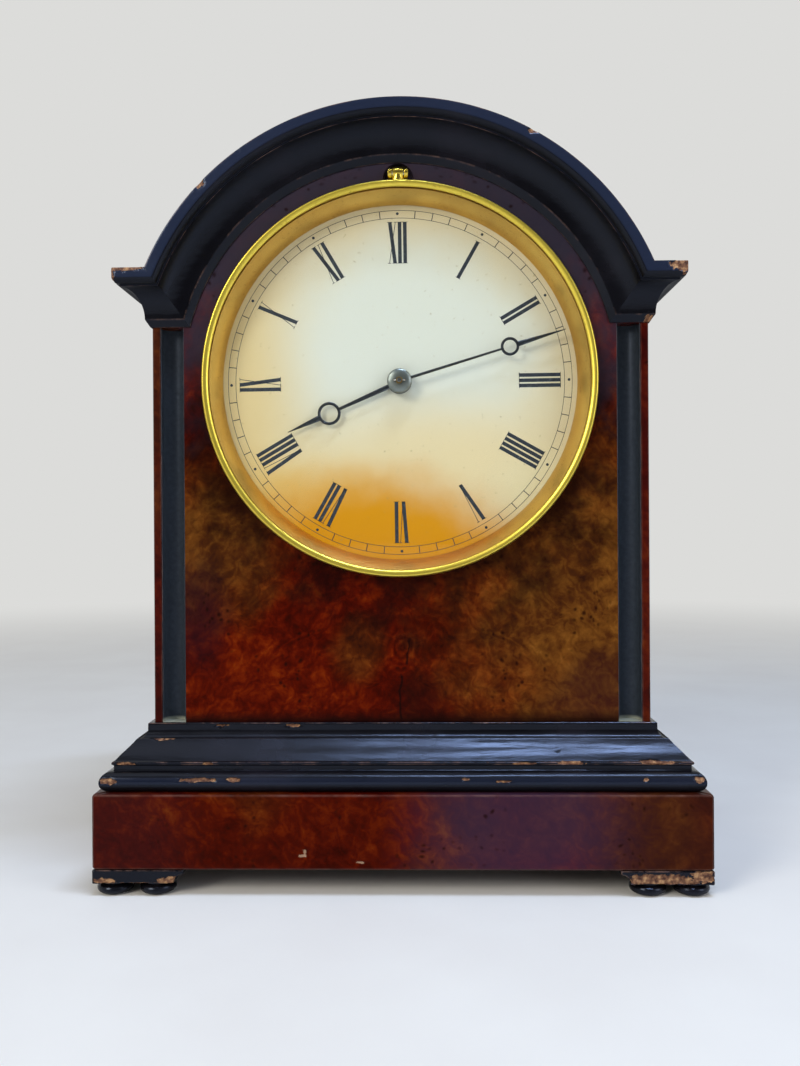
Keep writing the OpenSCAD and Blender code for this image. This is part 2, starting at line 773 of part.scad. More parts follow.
// Turned sheet: a flat flange behind the glass, then a cone that runs down to the dial
module sight_ring() {
    flange_r = bezel_r - bezel_wall - seat;
    flange_back = min(glass_back_y + sight_t, bezel_back_y - 0.05);
    color(brass) turned() polygon([[opening_r, glass_back_y], [flange_r, glass_back_y],
        [flange_r, flange_back], [opening_r + sight_t, flange_back],
        [dial_seen_r + sight_t, sight_back_y], [dial_seen_r, sight_back_y]]);
}

// A screwed plate with two ears that carry the pin
module bezel_hinge_block() {
    plate_y = panel_y + notch_deep - hinge_plate_t;
    ear_x = hinge_half_w;
    color(brass) difference() {
        union() {
            block(-ear_x, ear_x, plate_y, panel_y + notch_deep,
                dial_z + panel_hole_r + 0.6, hinge_z + 0.6);
            for (side = [-1, 1]) {
                x0 = side < 0 ? -ear_x : bezel_knuckle_w / 2 + free;
                x1 = side < 0 ? -bezel_knuckle_w / 2 - free : ear_x;
                cross_bar(x0, x1, hinge_y, hinge_z, bezel_knuckle_r - 0.3);
                block(x0, x1, hinge_y, plate_y, hinge_z - bezel_knuckle_r + 0.6,
                    hinge_z + bezel_knuckle_r - 1.2);
            }
        }
        cross_bar(-notch_w, notch_w, hinge_y, hinge_z, bezel_pin_r + seat);
    }
}

module bezel_hinge_pin() {
    color(steel) cross_bar(-hinge_half_w, hinge_half_w, hinge_y, hinge_z, bezel_pin_r);
}

// Dial and pan

dial_feet_at = [for (a = [90, 210, 330]) toward([0, 0], a, dial_foot_at)];

module dial_pan() {
    post_end_y = front_plate_y;
    color(brass) difference() {
        union() {
            bar(pan_y, pan_back_y, panel_hole_r + pan_flange);
            turned() polygon([[dial_r - pan_seat_w, seat_y], [dial_r, seat_y],
                [dial_r, pan_y + pan_t / 2], [dial_r - pan_seat_w, pan_y + pan_t / 2]]);
            for (p = posts_at) bar(pan_y + pan_t / 2, post_end_y, post_r, p);
        }
        bar(pan_y - 5, pan_back_y + 1, dial_bore_r);
        for (p = posts_at) bar(post_end_y - 4, post_end_y + 1, screw_r + seat, p);
        for (p = dial_feet_at) bar(pan_y - 1, pan_back_y + 1, screw_r + run, p);
        for (a = [45:90:315]) bar(pan_y - 1, pan_back_y + 1, screw_r + run,
            toward([0, 0], a, screw_ring_r));
    }
}

module pan_screws() {
    color(brass) for (a = [45:90:315]) {
        at = toward([0, 0], a, screw_ring_r);
        bar(pan_y - 5, pan_back_y, screw_r, at);
        bar(pan_back_y, pan_back_y + screw_head_t, screw_head_r, at);
    }
}

module dial() {
    color("ivory") difference() {
        union() {
            bar(dial_y, seat_y, dial_r);
            for (p = dial_feet_at) bar(dial_y + dial_t / 2, pan_back_y + 0.6, screw_r, p);
        }
        bar(dial_y - 1, seat_y + 1, dial_bore_r);
    }
}

// Hands: a slim arm, an open ring and a leaf-shaped point
module hand_outline(length, ring_at, ring_r, wall, boss_r, root_w, neck_w, tip_w) {
    difference() {
        union() {
            circle(boss_r);
            polygon([[-root_w / 2, 0], [root_w / 2, 0],
                [neck_w / 2, ring_at - ring_r + wall / 2], [-neck_w / 2, ring_at - ring_r + wall / 2]]);
            translate([0, ring_at]) circle(ring_r);
            polygon([[-tip_w / 2, ring_at + ring_r - wall / 2], [tip_w / 2, ring_at + ring_r - wall / 2],
                [0.08, length], [-0.08, length]]);
        }
        translate([0, ring_at]) circle(ring_r - wall);
    }
}

module minute_hand() {
    color(steel) movement_slab(minute_front_y, minute_hand_y) rotate(-minute_angle) difference() {
        hand_outline(minute_len, minute_ring_at, minute_ring_r, 0.85, 3, 0.9, 0.65, 1.5);
        circle(cannon_nose_r + seat);
    }
}

module hour_hand() {
    color(steel) movement_slab(hour_front_y, hour_hand_y) rotate(-hour_angle) difference() {
        hand_outline(hour_len, hour_ring_at, hour_ring_r, 0.9, collet_r, 1.5, 0.9, 1.7);
        circle(hour_pipe_r + seat);
    }
}

// Domed collet on the end of the centre shaft, held by a cross pin
module hand_collet() {
    pin_y = minute_front_y - collet_t - 0.35;
    color(steel) {
        turned() polygon(concat([[centre_front_r + seat, minute_front_y], [collet_r, minute_front_y]],
            [for (i = [1:5]) let (a = 90 * i / 5)
                [centre_front_r + seat + (collet_r - centre_front_r - seat) * cos(a),
                    minute_front_y - 0.2 - (collet_t - 0.2) * sin(a)]]));
        translate([-1.9, pin_y, dial_z]) rotate([0, 90, 0]) cylinder(h = 3.8, r = 0.3, $fn = 24);
    }
}

// Toothed wheels: involute flanks with a little of the thickness taken off for backlash
function roll(a) = tan(a) * 180 / PI - a;
function half_tooth(z, m, r) =
    let (rp = z * m / 2, rb = rp * cos(pressure))
    90 / z - tooth_thin / (2 * rp) * 180 / PI + roll(pressure) - roll(acos(min(1, rb / r)));
function flank_radii(z, m) =
    let (rp = z * m / 2, rb = rp * cos(pressure), root = rp - m)
    [root, max(rb, root + 0.35 * m), rp, rp + 0.8 * m];
function gear_points(z, m) = [for (i = [0:z - 1], k = [0:7])
    let (side = k < 4 ? -1 : 1, r = flank_radii(z, m)[k < 4 ? k : 7 - k],
        a = 360 * i / z + side * half_tooth(z, m, r))
    r * [cos(a), sin(a)]];

module gear_outline(z, m, rot) {
    rotate(rot) polygon(gear_points(z, m));
}

// The open sectors between a wheel's rim, hub and spokes
module crossings(rim_r, hub_r, spokes, spoke_w) {
    difference() {
        circle(rim_r);
        circle(hub_r);
        for (i = [0:spokes - 1]) rotate(360 * i / spokes) translate([0, -spoke_w / 2])
            square([rim_r + 1, spoke_w]);
    }
}

module wheel(y0, at, z, m, rot, hub_r, spokes = 5, thick = wheel_t) {
    rim_r = z * m / 2 - m - 1.3;
    movement_slab(y0, y0 + thick, at) difference() {
        gear_outline(z, m, rot);
        crossings(rim_r, hub_r, spokes, 1.3);
    }
}

module pinion(y0, y1, at, z, m, rot) {
    movement_slab(y0, y1, at) gear_outline(z, m, rot);
}

// Motion work
cannon_y = front_plate_y - 2.6;
hour_wheel_y = front_plate_y - 4.8;

module cannon_pinion() {
    color(steel) difference() {
        union() {
            pinion(cannon_y, front_plate_y - end_shake, centre_at, cannon_teeth, motion_module,
                cannon_rot);
            bar(minute_hand_y, cannon_y + 1, cannon_r);
            bar(minute_front_y, minute_hand_y + 1, cannon_nose_r);
        }
        bar(minute_front_y - 1, front_plate_y + 1, centre_front_r + seat);
    }
}

module minute_wheel() {
    color(brass) difference() {
        union() {
            wheel(front_plate_y - 2.2, motion_at, minute_teeth, motion_module, minute_wheel_rot,
                3.2, 4);
            pinion(hour_wheel_y - 0.3, front_plate_y - 1.4, motion_at, minute_leaves, hour_module,
                minute_pinion_rot);
        }
        bar(hour_wheel_y - 1, front_plate_y, stud_r + run, motion_at);
    }
}

module hour_wheel() {
    color(brass) difference() {
        union() {
            wheel(hour_wheel_y, centre_at, hour_teeth, hour_module, hour_wheel_rot, 4, 4, 1);
            bar(hour_front_y, hour_wheel_y + 0.5, hour_pipe_r);
        }
        bar(hour_front_y - 1, hour_wheel_y + 2, cannon_r + run);
    }
}

// Plates

module plate(y0, holes) {
    difference() {
        bar(y0, y0 + plate_t, plate_r);
        for (h = holes) bar(y0 - 1, y0 + plate_t + 1, h[1], h[0]);
    }
}

module front_plate() {
    color(brass) {
        plate(front_plate_y, concat([[barrel_at, barrel_front_r + run], [centre_at, centre_front_r + run],
            [inter_at, inter_pivot_r + run], [third_at, third_pivot_r + run],
            [fourth_at, fourth_pivot_r + run], [escape_at, escape_pivot_r + run]],
            [for (p = posts_at) [p, screw_r + seat]], [for (p = pillars_at) [p, screw_r + seat]]));
        bar(hour_wheel_y - 0.3, front_plate_y, stud_r, motion_at);
    }
}

module back_plate() {
    color(brass) plate(back_plate_y, concat([[barrel_at, barrel_shaft_r + run],
        [centre_at, centre_shaft_r + run], [inter_at, inter_pivot_r + run],
        [third_at, third_pivot_r + run], [fourth_at, fourth_pivot_r + run], [escape_at, 0.9],
        [lever_at, fine_pivot_r + run], [balance_at, fine_pivot_r + run], [click_at, 0.6 + seat]],
        [for (p = pillars_at) [p, screw_r + seat]], [for (p = cock_feet) [p, screw_r + seat]]));
}

module plate_pillars() {
    color(brass) for (p = pillars_at) difference() {
        union() {
            bar(train_y, back_plate_y, pillar_r, p);
            bar(front_plate_y, train_y + 1, screw_r, p);
        }
        bar(back_plate_y - 5, back_plate_y + 1, screw_r + seat, p);
    }
}

module plate_screws() {
    color(steel) {
        for (p = posts_at) {
            bar(front_plate_y - 3.5, train_y, screw_r, p);
            bar(train_y, train_y + screw_head_t, screw_head_r, p);
        }
        for (p = pillars_at) {
            bar(back_plate_y - 4.5, rear_y, screw_r, p);
            bar(rear_y, rear_y + screw_head_t, screw_head_r, p);
        }
        for (p = cock_feet) {
            bar(back_plate_y + 0.2, cock_y + cock_t, screw_r, p);
            bar(cock_y + cock_t, cock_y + cock_t + screw_head_t, screw_head_r, p);
        }
        bar(back_plate_y + 0.2, ratchet_y + 1, 0.6, click_at);
        bar(ratchet_y + 1 + run, ratchet_y + 1.9, 1.3, click_at);
    }
}

// Barrel, its shaft and the mainspring

module barrel() {
    shaft_hole = barrel_shaft_r + run;
    color(brass) {
        difference() {
            union() {
                pinion(layer_great, layer_drum, barrel_at, great_teeth, great_module, great_rot);
                bar(layer_drum - 0.5, layer_drum_end, drum_r, barrel_at);
            }
            bar(layer_drum, layer_drum_end + 1, drum_r - drum_wall, barrel_at);
            bar(layer_great - 1, layer_drum_end, shaft_hole, barrel_at);
        }
        difference() {
            bar(layer_drum_end - drum_wall, layer_drum_end, drum_r - drum_wall - seat, barrel_at);
            bar(layer_great, layer_drum_end + 1, shaft_hole, barrel_at);
        }
    }
}

module squared_end(y0, y1, across, at) {
    movement_slab(y0, y1, at) translate([-across / 2, -across / 2]) square(across);
}

module barrel_arbor() {
    hub_r = 4.2;
    ratchet_end = ratchet_y + ratchet_t + 0.3;
    color(steel) {
        bar(front_plate_y + 0.2, train_y + end_shake, barrel_front_r, barrel_at);
        bar(train_y + end_shake, ratchet_y, barrel_shaft_r, barrel_at);
        bar(layer_drum + free, layer_drum_end - drum_wall - free, hub_r, barrel_at);
        squared_end(ratchet_y - 0.1, rear_y + square_out, winding_square, barrel_at);
        bar(ratchet_end, ratchet_end + 0.8, barrel_shaft_r, barrel_at);
    }
}

// A flat strip wound about its centre, from the inner to the outer radius
module spiral(r0, r1, turns, strip, steps) {
    function at(i, offset) = let (t = i / (turns * steps), a = 360 * i / steps)
        (r0 + (r1 - r0) * t + offset) * [cos(a), sin(a)];
    polygon(concat([for (i = [0:turns * steps]) at(i, strip / 2)],
        [for (i = [turns * steps:-1:0]) at(i, -strip / 2)]));
}

module mainspring() {
    color(steel) movement_slab(layer_drum + free, layer_drum_end - drum_wall - free, barrel_at)
        spiral(4.2 + free + 0.3, drum_r - drum_wall - 0.3, 7, 0.4, 18);
}

module ratchet_wheel() {
    step = 360 / ratchet_teeth;
    color(steel) movement_slab(ratchet_y, ratchet_y + ratchet_t, barrel_at) difference() {
        polygon([for (i = [0:ratchet_teeth - 1], k = [0, 1])
            (k == 0 ? ratchet_r : ratchet_r - ratchet_deep) * [cos(90 + step * i), sin(90 + step * i)]]);
        translate([-winding_square / 2 - seat, -winding_square / 2 - seat])
            square(winding_square + 2 * seat);
    }
}

module click() {
    end_r = 1.6;
    color(steel) movement_slab(ratchet_y, ratchet_y + 1, barrel_at) difference() {
        translate(click_tip) rotate(click_slope)
            polygon(concat([[0.2, -0.45], [0, -0.1], [0.3, 0.5]],
                arc([click_len, 0], end_r, 150, -150, 20)));
        translate(click_at) circle(0.6 + run);
    }
}

// Going train

module intermediate_wheel() {
    color(brass) {
        wheel(layer_inter, inter_at, inter_teeth, inter_module, inter_wheel_rot, 2.2);
        pinion(layer_great - 0.5, layer_drum + 0.3, inter_at, inter_leaves, great_module,
            inter_pinion_rot);
        bar(train_y + end_shake, back_plate_y - end_shake, 1, inter_at);
        bar(front_plate_y + 0.1, rear_y - 0.1, inter_pivot_r, inter_at);
    }
}

// The centre shaft carries the minute hand in front and ends in the setting square behind
module centre_wheel() {
    front_end = minute_front_y - collet_t - 0.7;
    pin_y = minute_front_y - collet_t - 0.35;
    color(brass) difference() {
        union() {
            wheel(layer_centre, centre_at, centre_teeth, centre_module, centre_wheel_rot, 3);
            pinion(layer_inter - 0.5, layer_inter + 1.7, centre_at, centre_leaves, inter_module,
                centre_pinion_rot);
            bar(train_y + end_shake, rear_y + 0.3, centre_shaft_r);
            bar(front_end, train_y + 1, centre_front_r);
            squared_end(rear_y, rear_y + square_out, setting_square, centre_at);
        }
        translate([-2, pin_y, dial_z]) rotate([0, 90, 0])
            cylinder(h = 4, r = 0.3 + seat, $fn = 24);
    }
}

module third_wheel() {
    color(brass) {
        wheel(layer_third, third_at, third_teeth, third_module, third_wheel_rot, 2.2);
        pinion(layer_centre - 0.4, layer_centre + 1.7, third_at, third_leaves, centre_module,
            third_pinion_rot);
        bar(train_y + end_shake, back_plate_y - end_shake, 0.9, third_at);
        bar(front_plate_y + 0.1, rear_y - 0.1, third_pivot_r, third_at);
    }
}

module fourth_wheel() {
    color(brass) {
        wheel(layer_fourth, fourth_at, fourth_teeth, fourth_module, fourth_wheel_rot, 2, 5, 0.8);
        pinion(layer_third - 0.5, layer_third + 1.7, fourth_at, fourth_leaves, third_module,
            fourth_pinion_rot);
        bar(train_y + end_shake, back_plate_y - end_shake, 0.8, fourth_at);
        bar(front_plate_y + 0.1, rear_y - 0.1, fourth_pivot_r, fourth_at);
    }
}

// Fifteen pointed teeth, with the pinion between the plates
module escape_wheel() {
    step = 360 / 15;
    color(brass) {
        movement_slab(layer_escape, layer_escape + 0.6, escape_at) difference() {
            polygon([for (i = [0:14], k = [0:2])
                let (r = [escape_r, escape_r - 1.6, escape_r - 1.6][k], a = step * (i + [0, 0.12, 0.8][k]))
                r * [cos(a), sin(a)]]);
            crossings(3.6, 1.5, 4, 0.8);
        }
        pinion(layer_fourth - 0.6, layer_fourth + 1.6, escape_at, escape_leaves, fourth_module,
            escape_pinion_rot);
        bar(train_y + end_shake, cock_y - 0.2, 0.6, escape_at);
        bar(front_plate_y + 0.1, cock_y + cock_t - 0.1, escape_pivot_r, escape_at);
    }
}

// Platform: lever, balance, spring, cock and regulator

module lever() {
    fork = balance_distance - 2.6;
    color(steel) {
        movement_slab(layer_escape, layer_escape + 0.6, lever_at) rotate(platform_direction) {
            circle(1.1, $fn = 32);
            translate([0, -0.45]) square([fork, 0.9]);
            polygon([[0.6, -3.4], [0.6, 3.4], [-0.9, 4.4], [-0.9, 3.6], [-0.4, 2.6], [-0.4, -2.6],
                [-0.9, -3.6], [-0.9, -4.4]]);
            for (side = [-1, 1]) translate([fork - 0.6, side * 0.75 - 0.3]) square([1, 0.6]);
            translate([fork - 0.8, -1]) square([0.6, 2]);
        }
        bar(rear_y + end_shake, cock_y - 0.2, 0.4, lever_at);
        bar(back_plate_y + 0.1, cock_y + cock_t - 0.1, fine_pivot_r, lever_at);
    }
}

module balance_wheel() {
    rim_y = rear_y + 4.6;
    color(brass) {
        movement_slab(rim_y, rim_y + 0.9, balance_at) {
            difference() {
                circle(balance_r);
                circle(balance_r - 1.1);
            }
            translate([-balance_r + 0.5, -0.45]) square([2 * balance_r - 1, 0.9]);
            circle(1.1, $fn = 32);
        }
        bar(layer_escape + 0.2, layer_escape + 1, 1.3, balance_at);
        bar(rear_y + end_shake, cock_y - 0.2, 0.5, balance_at);
        bar(back_plate_y + 0.1, cock_y + cock_t - 0.1, fine_pivot_r, balance_at);
    }
}

hair_y = rear_y + 6.5;
hair_r = 4.6;

module hairspring() {
    color("steelblue") movement_slab(hair_y, hair_y + 0.4, balance_at)
        rotate(platform_direction) spiral(0.5 + free + 0.1, hair_r, 6, 0.14, 18);
}

module balance_cock() {
    far = cock_feet[1] - cock_feet[0];
    color(brass) difference() {
        union() {
            for (p = cock_feet) bar(rear_y, cock_y + cock_t, cock_foot_r, p);
            movement_slab(cock_y, cock_y + cock_t, cock_feet[0]) rotate(platform_direction)
                translate([0, -2.2]) square([norm(far), 4.4]);
            bar(cock_y, cock_y + cock_t, 3.4, balance_at);
            bar(cock_y, cock_y + cock_t + 0.8, 1.2, balance_at);
            bar(hair_y, cock_y + 0.2, 0.5, toward(balance_at, platform_direction, hair_r + 0.57));
        }
        for (p = cock_feet) bar(rear_y - 1, cock_y + cock_t + 1, screw_r + seat, p);
        bar(cock_y - 1, cock_y + cock_t + 2, escape_pivot_r + run, escape_at);
        for (p = [lever_at, balance_at]) bar(cock_y - 1, cock_y + cock_t + 2, fine_pivot_r + run, p);
    }
}

module regulator() {
    regulator_y = cock_y + cock_t;
    color(steel) movement_slab(regulator_y + run, regulator_y + 0.6, balance_at) difference() {
        union() {
            circle(2.4);
            rotate(platform_direction + 90) translate([0, -0.4]) square([9, 0.8]);
            rotate(platform_direction + 90) translate([9, 0]) circle(0.9, $fn = 24);
        }
        circle(1.2 + run);
    }
}

foot_glides();
foot_brackets();
base_board();
plinth_front();
plinth_back();
plinth_end(-1);  // plinth_left
plinth_end(1);  // plinth_right
base_moulding_front();
base_moulding_side(-1);  // base_moulding_left
base_moulding_side(1);  // base_moulding_right
side_board(-1);  // side_left
side_board(1);  // side_right
front_panel();
corner_hollow(-1);  // corner_hollow_left
corner_hollow(1);  // corner_hollow_right
roof();
arch_moulding();
cornice_front(-1);  // cornice_front_left
cornice_front(1);  // cornice_front_right
cornice_side(-1);  // cornice_side_left
cornice_side(1);  // cornice_side_right
back_frame();
back_door();
door_knob();
door_hinge_leaves();
door_hinge_straps();
door_hinge_pins();
bezel_ring();
sight_ring();
bezel_glass();
bezel_hinge_block();
bezel_hinge_pin();
dial_pan();
dial();
pan_screws();
minute_hand();
hour_hand();
hand_collet();
cannon_pinion();
minute_wheel();
hour_wheel();
front_plate();
back_plate();
plate_pillars();
plate_screws();
barrel();
barrel_arbor();
mainspring();
ratchet_wheel();
click();
intermediate_wheel();
centre_wheel();
third_wheel();
fourth_wheel();
escape_wheel();
lever();
balance_wheel();
hairspring();
balance_cock();
regulator();
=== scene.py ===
# %% [markdown]
# # An arched mantel timepiece, dressed from its working model
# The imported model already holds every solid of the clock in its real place, in metres, and says
# which body each one moves with. This notebook keeps those places and gives the clock its looks:
# burr walnut, black polished mouldings, brass, blued steel, glass and a painted dial.
# Loading comes first, because every later size is read from the model instead of being typed again.

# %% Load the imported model
import json
import math

import bmesh
import bpy
from mathutils import Matrix, Vector, noise
from mathutils.geometry import intersect_point_line, tessellate_polygon


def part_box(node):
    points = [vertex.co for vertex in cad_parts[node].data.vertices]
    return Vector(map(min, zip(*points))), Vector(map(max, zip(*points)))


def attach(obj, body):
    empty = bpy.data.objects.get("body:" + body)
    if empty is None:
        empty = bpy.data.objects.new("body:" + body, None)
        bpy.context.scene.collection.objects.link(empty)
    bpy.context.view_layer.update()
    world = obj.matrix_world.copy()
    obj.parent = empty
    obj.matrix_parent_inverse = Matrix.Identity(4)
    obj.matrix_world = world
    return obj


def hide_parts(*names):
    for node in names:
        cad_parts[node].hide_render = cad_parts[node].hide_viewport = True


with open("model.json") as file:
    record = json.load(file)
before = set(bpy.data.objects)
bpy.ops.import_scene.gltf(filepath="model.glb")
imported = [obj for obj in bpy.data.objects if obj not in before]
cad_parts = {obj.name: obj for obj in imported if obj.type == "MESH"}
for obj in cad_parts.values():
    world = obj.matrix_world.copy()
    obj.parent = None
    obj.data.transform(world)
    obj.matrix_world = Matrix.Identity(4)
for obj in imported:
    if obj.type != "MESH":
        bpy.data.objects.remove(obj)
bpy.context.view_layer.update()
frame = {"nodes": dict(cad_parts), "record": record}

MM = 0.001

# %% [markdown]
# ## Sizes, in millimetres
# Mouldings and turned rings are easier to think about in millimetres, so every outline below is
# written in them and turned to metres at one place. The main planes are read from the boxes of the
# nodes: the face of the panel, the plinth, the bezel's rim and the centre of the dial.

# %% Read the main planes from the nodes
def box_mm(node):
    """Lowest and highest corner of a node of the model, in millimetres."""
    low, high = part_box(node)
    return low / MM, high / MM


base_low, base_high = box_mm("base_moulding_front")
dial_low, dial_high = box_mm("dial")
ring_low, ring_high = box_mm("bezel_ring")
cornice_low, cornice_high = box_mm("cornice_side_right")
side_high = box_mm("side_right")[1]

PANEL_Y = box_mm("front_panel")[0].y
PLINTH_Y = box_mm("plinth_front")[0].y
BACK_Y = side_high.y
CASE_Z = base_low.z
BODY_X = side_high.x
DIAL_Z = (dial_low.z + dial_high.z) / 2
DIAL_Y = dial_low.y
BEZEL_R = ring_high.x
BEZEL_FRONT = ring_low.y
BASE_H = base_high.z - base_low.z
BASE_P = PANEL_Y - base_low.y
CORNICE_Z = cornice_low.z
CORNICE_H = cornice_high.z - cornice_low.z
CORNICE_P = cornice_high.x - BODY_X
ARCH_IN = box_mm("arch_moulding")[1].z - DIAL_Z - CORNICE_H
print("dial centre", round(DIAL_Z, 2), "bezel radius", round(BEZEL_R, 2), "arch from", round(ARCH_IN, 2))

# %% [markdown]
# ## Camera
# The clock was photographed from close by, a little below the dial's centre, almost square on. Close
# views show strong perspective: the plinth, which stands nearer, looks wider than the arch. The
# place, the turn and the lens were worked out from measured corners of the clock in the picture.

# %% Set the camera
CAMERA_AT = Vector((6.9, -340.3, 108.3)) * MM
YAW, PITCH, ROLL = 1.33, -0.02, -0.35
FOCAL_PX, FRAME_W = 959, 800
SENSOR = 36

camera_data = bpy.data.cameras.new("camera")
camera = bpy.data.objects.new("camera", camera_data)
bpy.context.scene.collection.objects.link(camera)
bpy.context.scene.camera = camera
camera_data.sensor_fit = "HORIZONTAL"
camera_data.sensor_width = SENSOR
camera_data.lens = SENSOR * FOCAL_PX / FRAME_W
camera_data.clip_start = 0.01
turn = (Matrix.Rotation(math.radians(YAW), 4, "Z") @ Matrix.Rotation(math.radians(90 + PITCH), 4, "X")
        @ Matrix.Rotation(math.radians(ROLL), 4, "Z"))
camera.matrix_world = Matrix.Translation(CAMERA_AT) @ turn
print("lens", round(camera_data.lens, 2), "mm")

# %% [markdown]
# ## One helper for materials
# A procedural material is a small tree of nodes. One function adds any node, sets its values and
# links its inputs, so each material below reads as a list of steps. Colours are written as the hex
# values a designer would pick on screen, and one function turns them into the linear light values
# that a renderer works with. Pattern scales come from real sizes: `per(5)` is the texture scale
# whose features are about 5 mm across, because object coordinates are in metres here.

# %% Colours and pattern scales
def linear(code):
    """An sRGB hex colour as linear red, green, blue and alpha."""
    parts = [int(code[i:i + 2], 16) / 255 for i in (1, 3, 5)]
    return [c / 12.92 if c <= 0.04045 else ((c + 0.055) / 1.055) ** 2.4 for c in parts] + [1.0]


def per(size_mm):
    """Texture scale whose features are about size_mm across."""
    return 1 / (size_mm * MM)


print("a mid grey in linear light:", round(linear("#808080")[0], 3), "scale of 5 mm:", per(5))

# %% Add nodes to a material
def add(tree, kind, settings=None, links=None, out=0):
    """Adds a node and gives back one of its outputs.

    A setting is the value of an input or of a property, and a link is an input's source. A hex
    colour is turned linear, and "Stops" fills a colour ramp with pairs of position and colour.
    """
    node = tree.nodes.new("ShaderNode" + kind)
    for key, value in (settings or {}).items():
        if key == "Stops":
            marks = node.color_ramp.elements
            marks[0].position, marks[0].color = value[0][0], linear(value[0][1])
            marks[1].position, marks[1].color = value[-1][0], linear(value[-1][1])
            for position, code in value[1:-1]:
                marks.new(position).color = linear(code)
            continue
        if isinstance(value, str) and value.startswith("#"):
            value = linear(value)
        if isinstance(key, int) or key in node.inputs:
            node.inputs[key].default_value = value
        else:
            setattr(node, key, value)
    for key, source in (links or {}).items():
        tree.links.new(source, node.inputs[key])
    return node.outputs[out] if node.outputs else node


def new_material(name, slot):
    """An empty material, and its place on the clock in metres. Slot is not used."""
    material = bpy.data.materials.new(name)
    material.use_nodes = True
    material.node_tree.nodes.clear()
    return material, material.node_tree, add(material.node_tree, "TexCoord", out="Object")


def finish_material(tree, settings, links, height, bump_mm, strength=0.5):
    """Adds the surface with its bump, and the output."""
    bump = add(tree, "Bump", {"Strength": strength, "Distance": bump_mm * MM}, {"Height": height})
    surface = add(tree, "BsdfPrincipled", settings, {**links, "Normal": bump})
    add(tree, "OutputMaterial", links={"Surface": surface})


# %% [markdown]
# ## Stains
# Old wood and old paint are not one colour. Sun fades them, damp and smoke darken them, and each of
# these leaves a patch that is strongest in its middle. A stain could be painted on a picture, but
# then it would need a map of the surface. Here it is an oval in space, placed in millimetres, whose
# border drifts with a noise, so it can be moved and resized by its numbers.

# %% Lay stains over a colour
def stained(tree, place, colour, stains, drift, patterns=None):
    """Lays ovals with wavy borders over a colour: stains, and on the panel, plinth and dial also painted
    light and shade.

    A stain is its centre and half sizes in millimetres, where None means that it has no end that way,
    its colour or the name of a pattern, the most that it covers, and how soft its border is.
    """
    for centre, half, tint, most, soft in stains:
        middle = tuple(c * MM for c in centre)
        squeeze = tuple(1 / (h * MM) if h else 0 for h in half)
        away = add(tree, "VectorMath", {"operation": "SUBTRACT", 1: middle}, {0: place})
        away = add(tree, "VectorMath", {"operation": "MULTIPLY", 1: squeeze}, {0: away})
        away = add(tree, "VectorMath", {"operation": "LENGTH"}, {0: away}, out="Value")
        away = add(tree, "Math", {"operation": "ADD"}, {0: away, 1: drift})
        amount = add(tree, "MapRange", {"interpolation_type": "SMOOTHSTEP", "From Min": 1 - soft,
                                        "From Max": 1 + soft, "To Min": 1.0, "To Max": 0.0}, {"Value": away})
        amount = add(tree, "Math", {"operation": "MULTIPLY", 1: most}, {0: amount})
        settings, links = {}, {"Fac": amount, "Color1": colour}
        if patterns and tint in patterns:
            links["Color2"] = patterns[tint]
        else:
            settings["Color2"] = tint
        colour = add(tree, "MixRGB", settings, links)
    return colour


print("helpers so far:", [f.__name__ for f in (linear, per, add, new_material, finish_material, stained)])

# %% [markdown]
# ## Burr walnut veneer
# The veneer is cut from a burr, a growth full of buds, so it has no straight grain. The eye sees
# soft clouds of amber and deep red 20 mm and more across, a mottle of a few millimetres, curling
# fibre lines, and clusters of small dark pips. An old French polish lies on top, smooth but dulled
# by a century of dusting. Noise that is bent by more noise gives the curls without drawing any of
# them by hand. The red-brown of the finish is dark, so the polish is kept weak: too much of it would
# lay a grey veil over the wood. Its reflection is tinted with the warm colour of shellac.

# %% Draw the figure of the burr
RED_FIGURE = [(0.34, "#230200"), (0.43, "#3a0400"), (0.51, "#4e0b01"), (0.59, "#661b02"), (0.69, "#7e350a")]
OLIVE_FIGURE = [(0.34, "#2a1208"), (0.44, "#45230a"), (0.52, "#5a3410"), (0.6, "#6e4416"), (0.7, "#845826")]


def walnut_figure(tree, leaf):
    """The brightness of the figure, and how much of a dark pip a place is."""
    swirl = add(tree, "TexNoise", {"Scale": per(13), "Detail": 2.0}, {"Vector": leaf}, out="Color")
    bent = add(tree, "VectorMath", {"operation": "MULTIPLY_ADD", 1: (7 * MM,) * 3}, {0: swirl, 2: leaf})
    clouds = add(tree, "TexNoise", {"Scale": per(22), "Detail": 2.0}, {"Vector": bent})
    mottle = add(tree, "TexNoise", {"Scale": per(5), "Detail": 7.0, "Roughness": 0.62, "Distortion": 0.35},
                 {"Vector": bent})
    curls = add(tree, "TexWave", {"bands_direction": "DIAGONAL", "Scale": per(8), "Distortion": 11.0,
                                  "Detail": 3.0, "Detail Scale": 2.0}, {"Vector": bent}, out="Fac")
    shade = add(tree, "Math", {"operation": "MULTIPLY", 1: 0.05}, {0: curls})
    shade = add(tree, "Math", {"operation": "MULTIPLY_ADD", 1: 0.45}, {0: clouds, 2: shade})
    shade = add(tree, "Math", {"operation": "MULTIPLY_ADD", 1: 0.51}, {0: mottle, 2: shade})
    buds = add(tree, "TexVoronoi", {"Scale": per(2.7)}, {"Vector": bent})
    dot = add(tree, "MapRange", {"From Min": 0.1, "From Max": 0.3, "To Min": 1.0, "To Max": 0.0},
              {"Value": buds})
    crowd = add(tree, "TexNoise", {"Scale": per(15), "Detail": 1.0}, {"Vector": leaf})
    crowd = add(tree, "MapRange", {"From Min": 0.48, "From Max": 0.64, "To Max": 0.8}, {"Value": crowd})
    return shade, add(tree, "Math", {"operation": "MULTIPLY"}, {0: dot, 1: crowd})


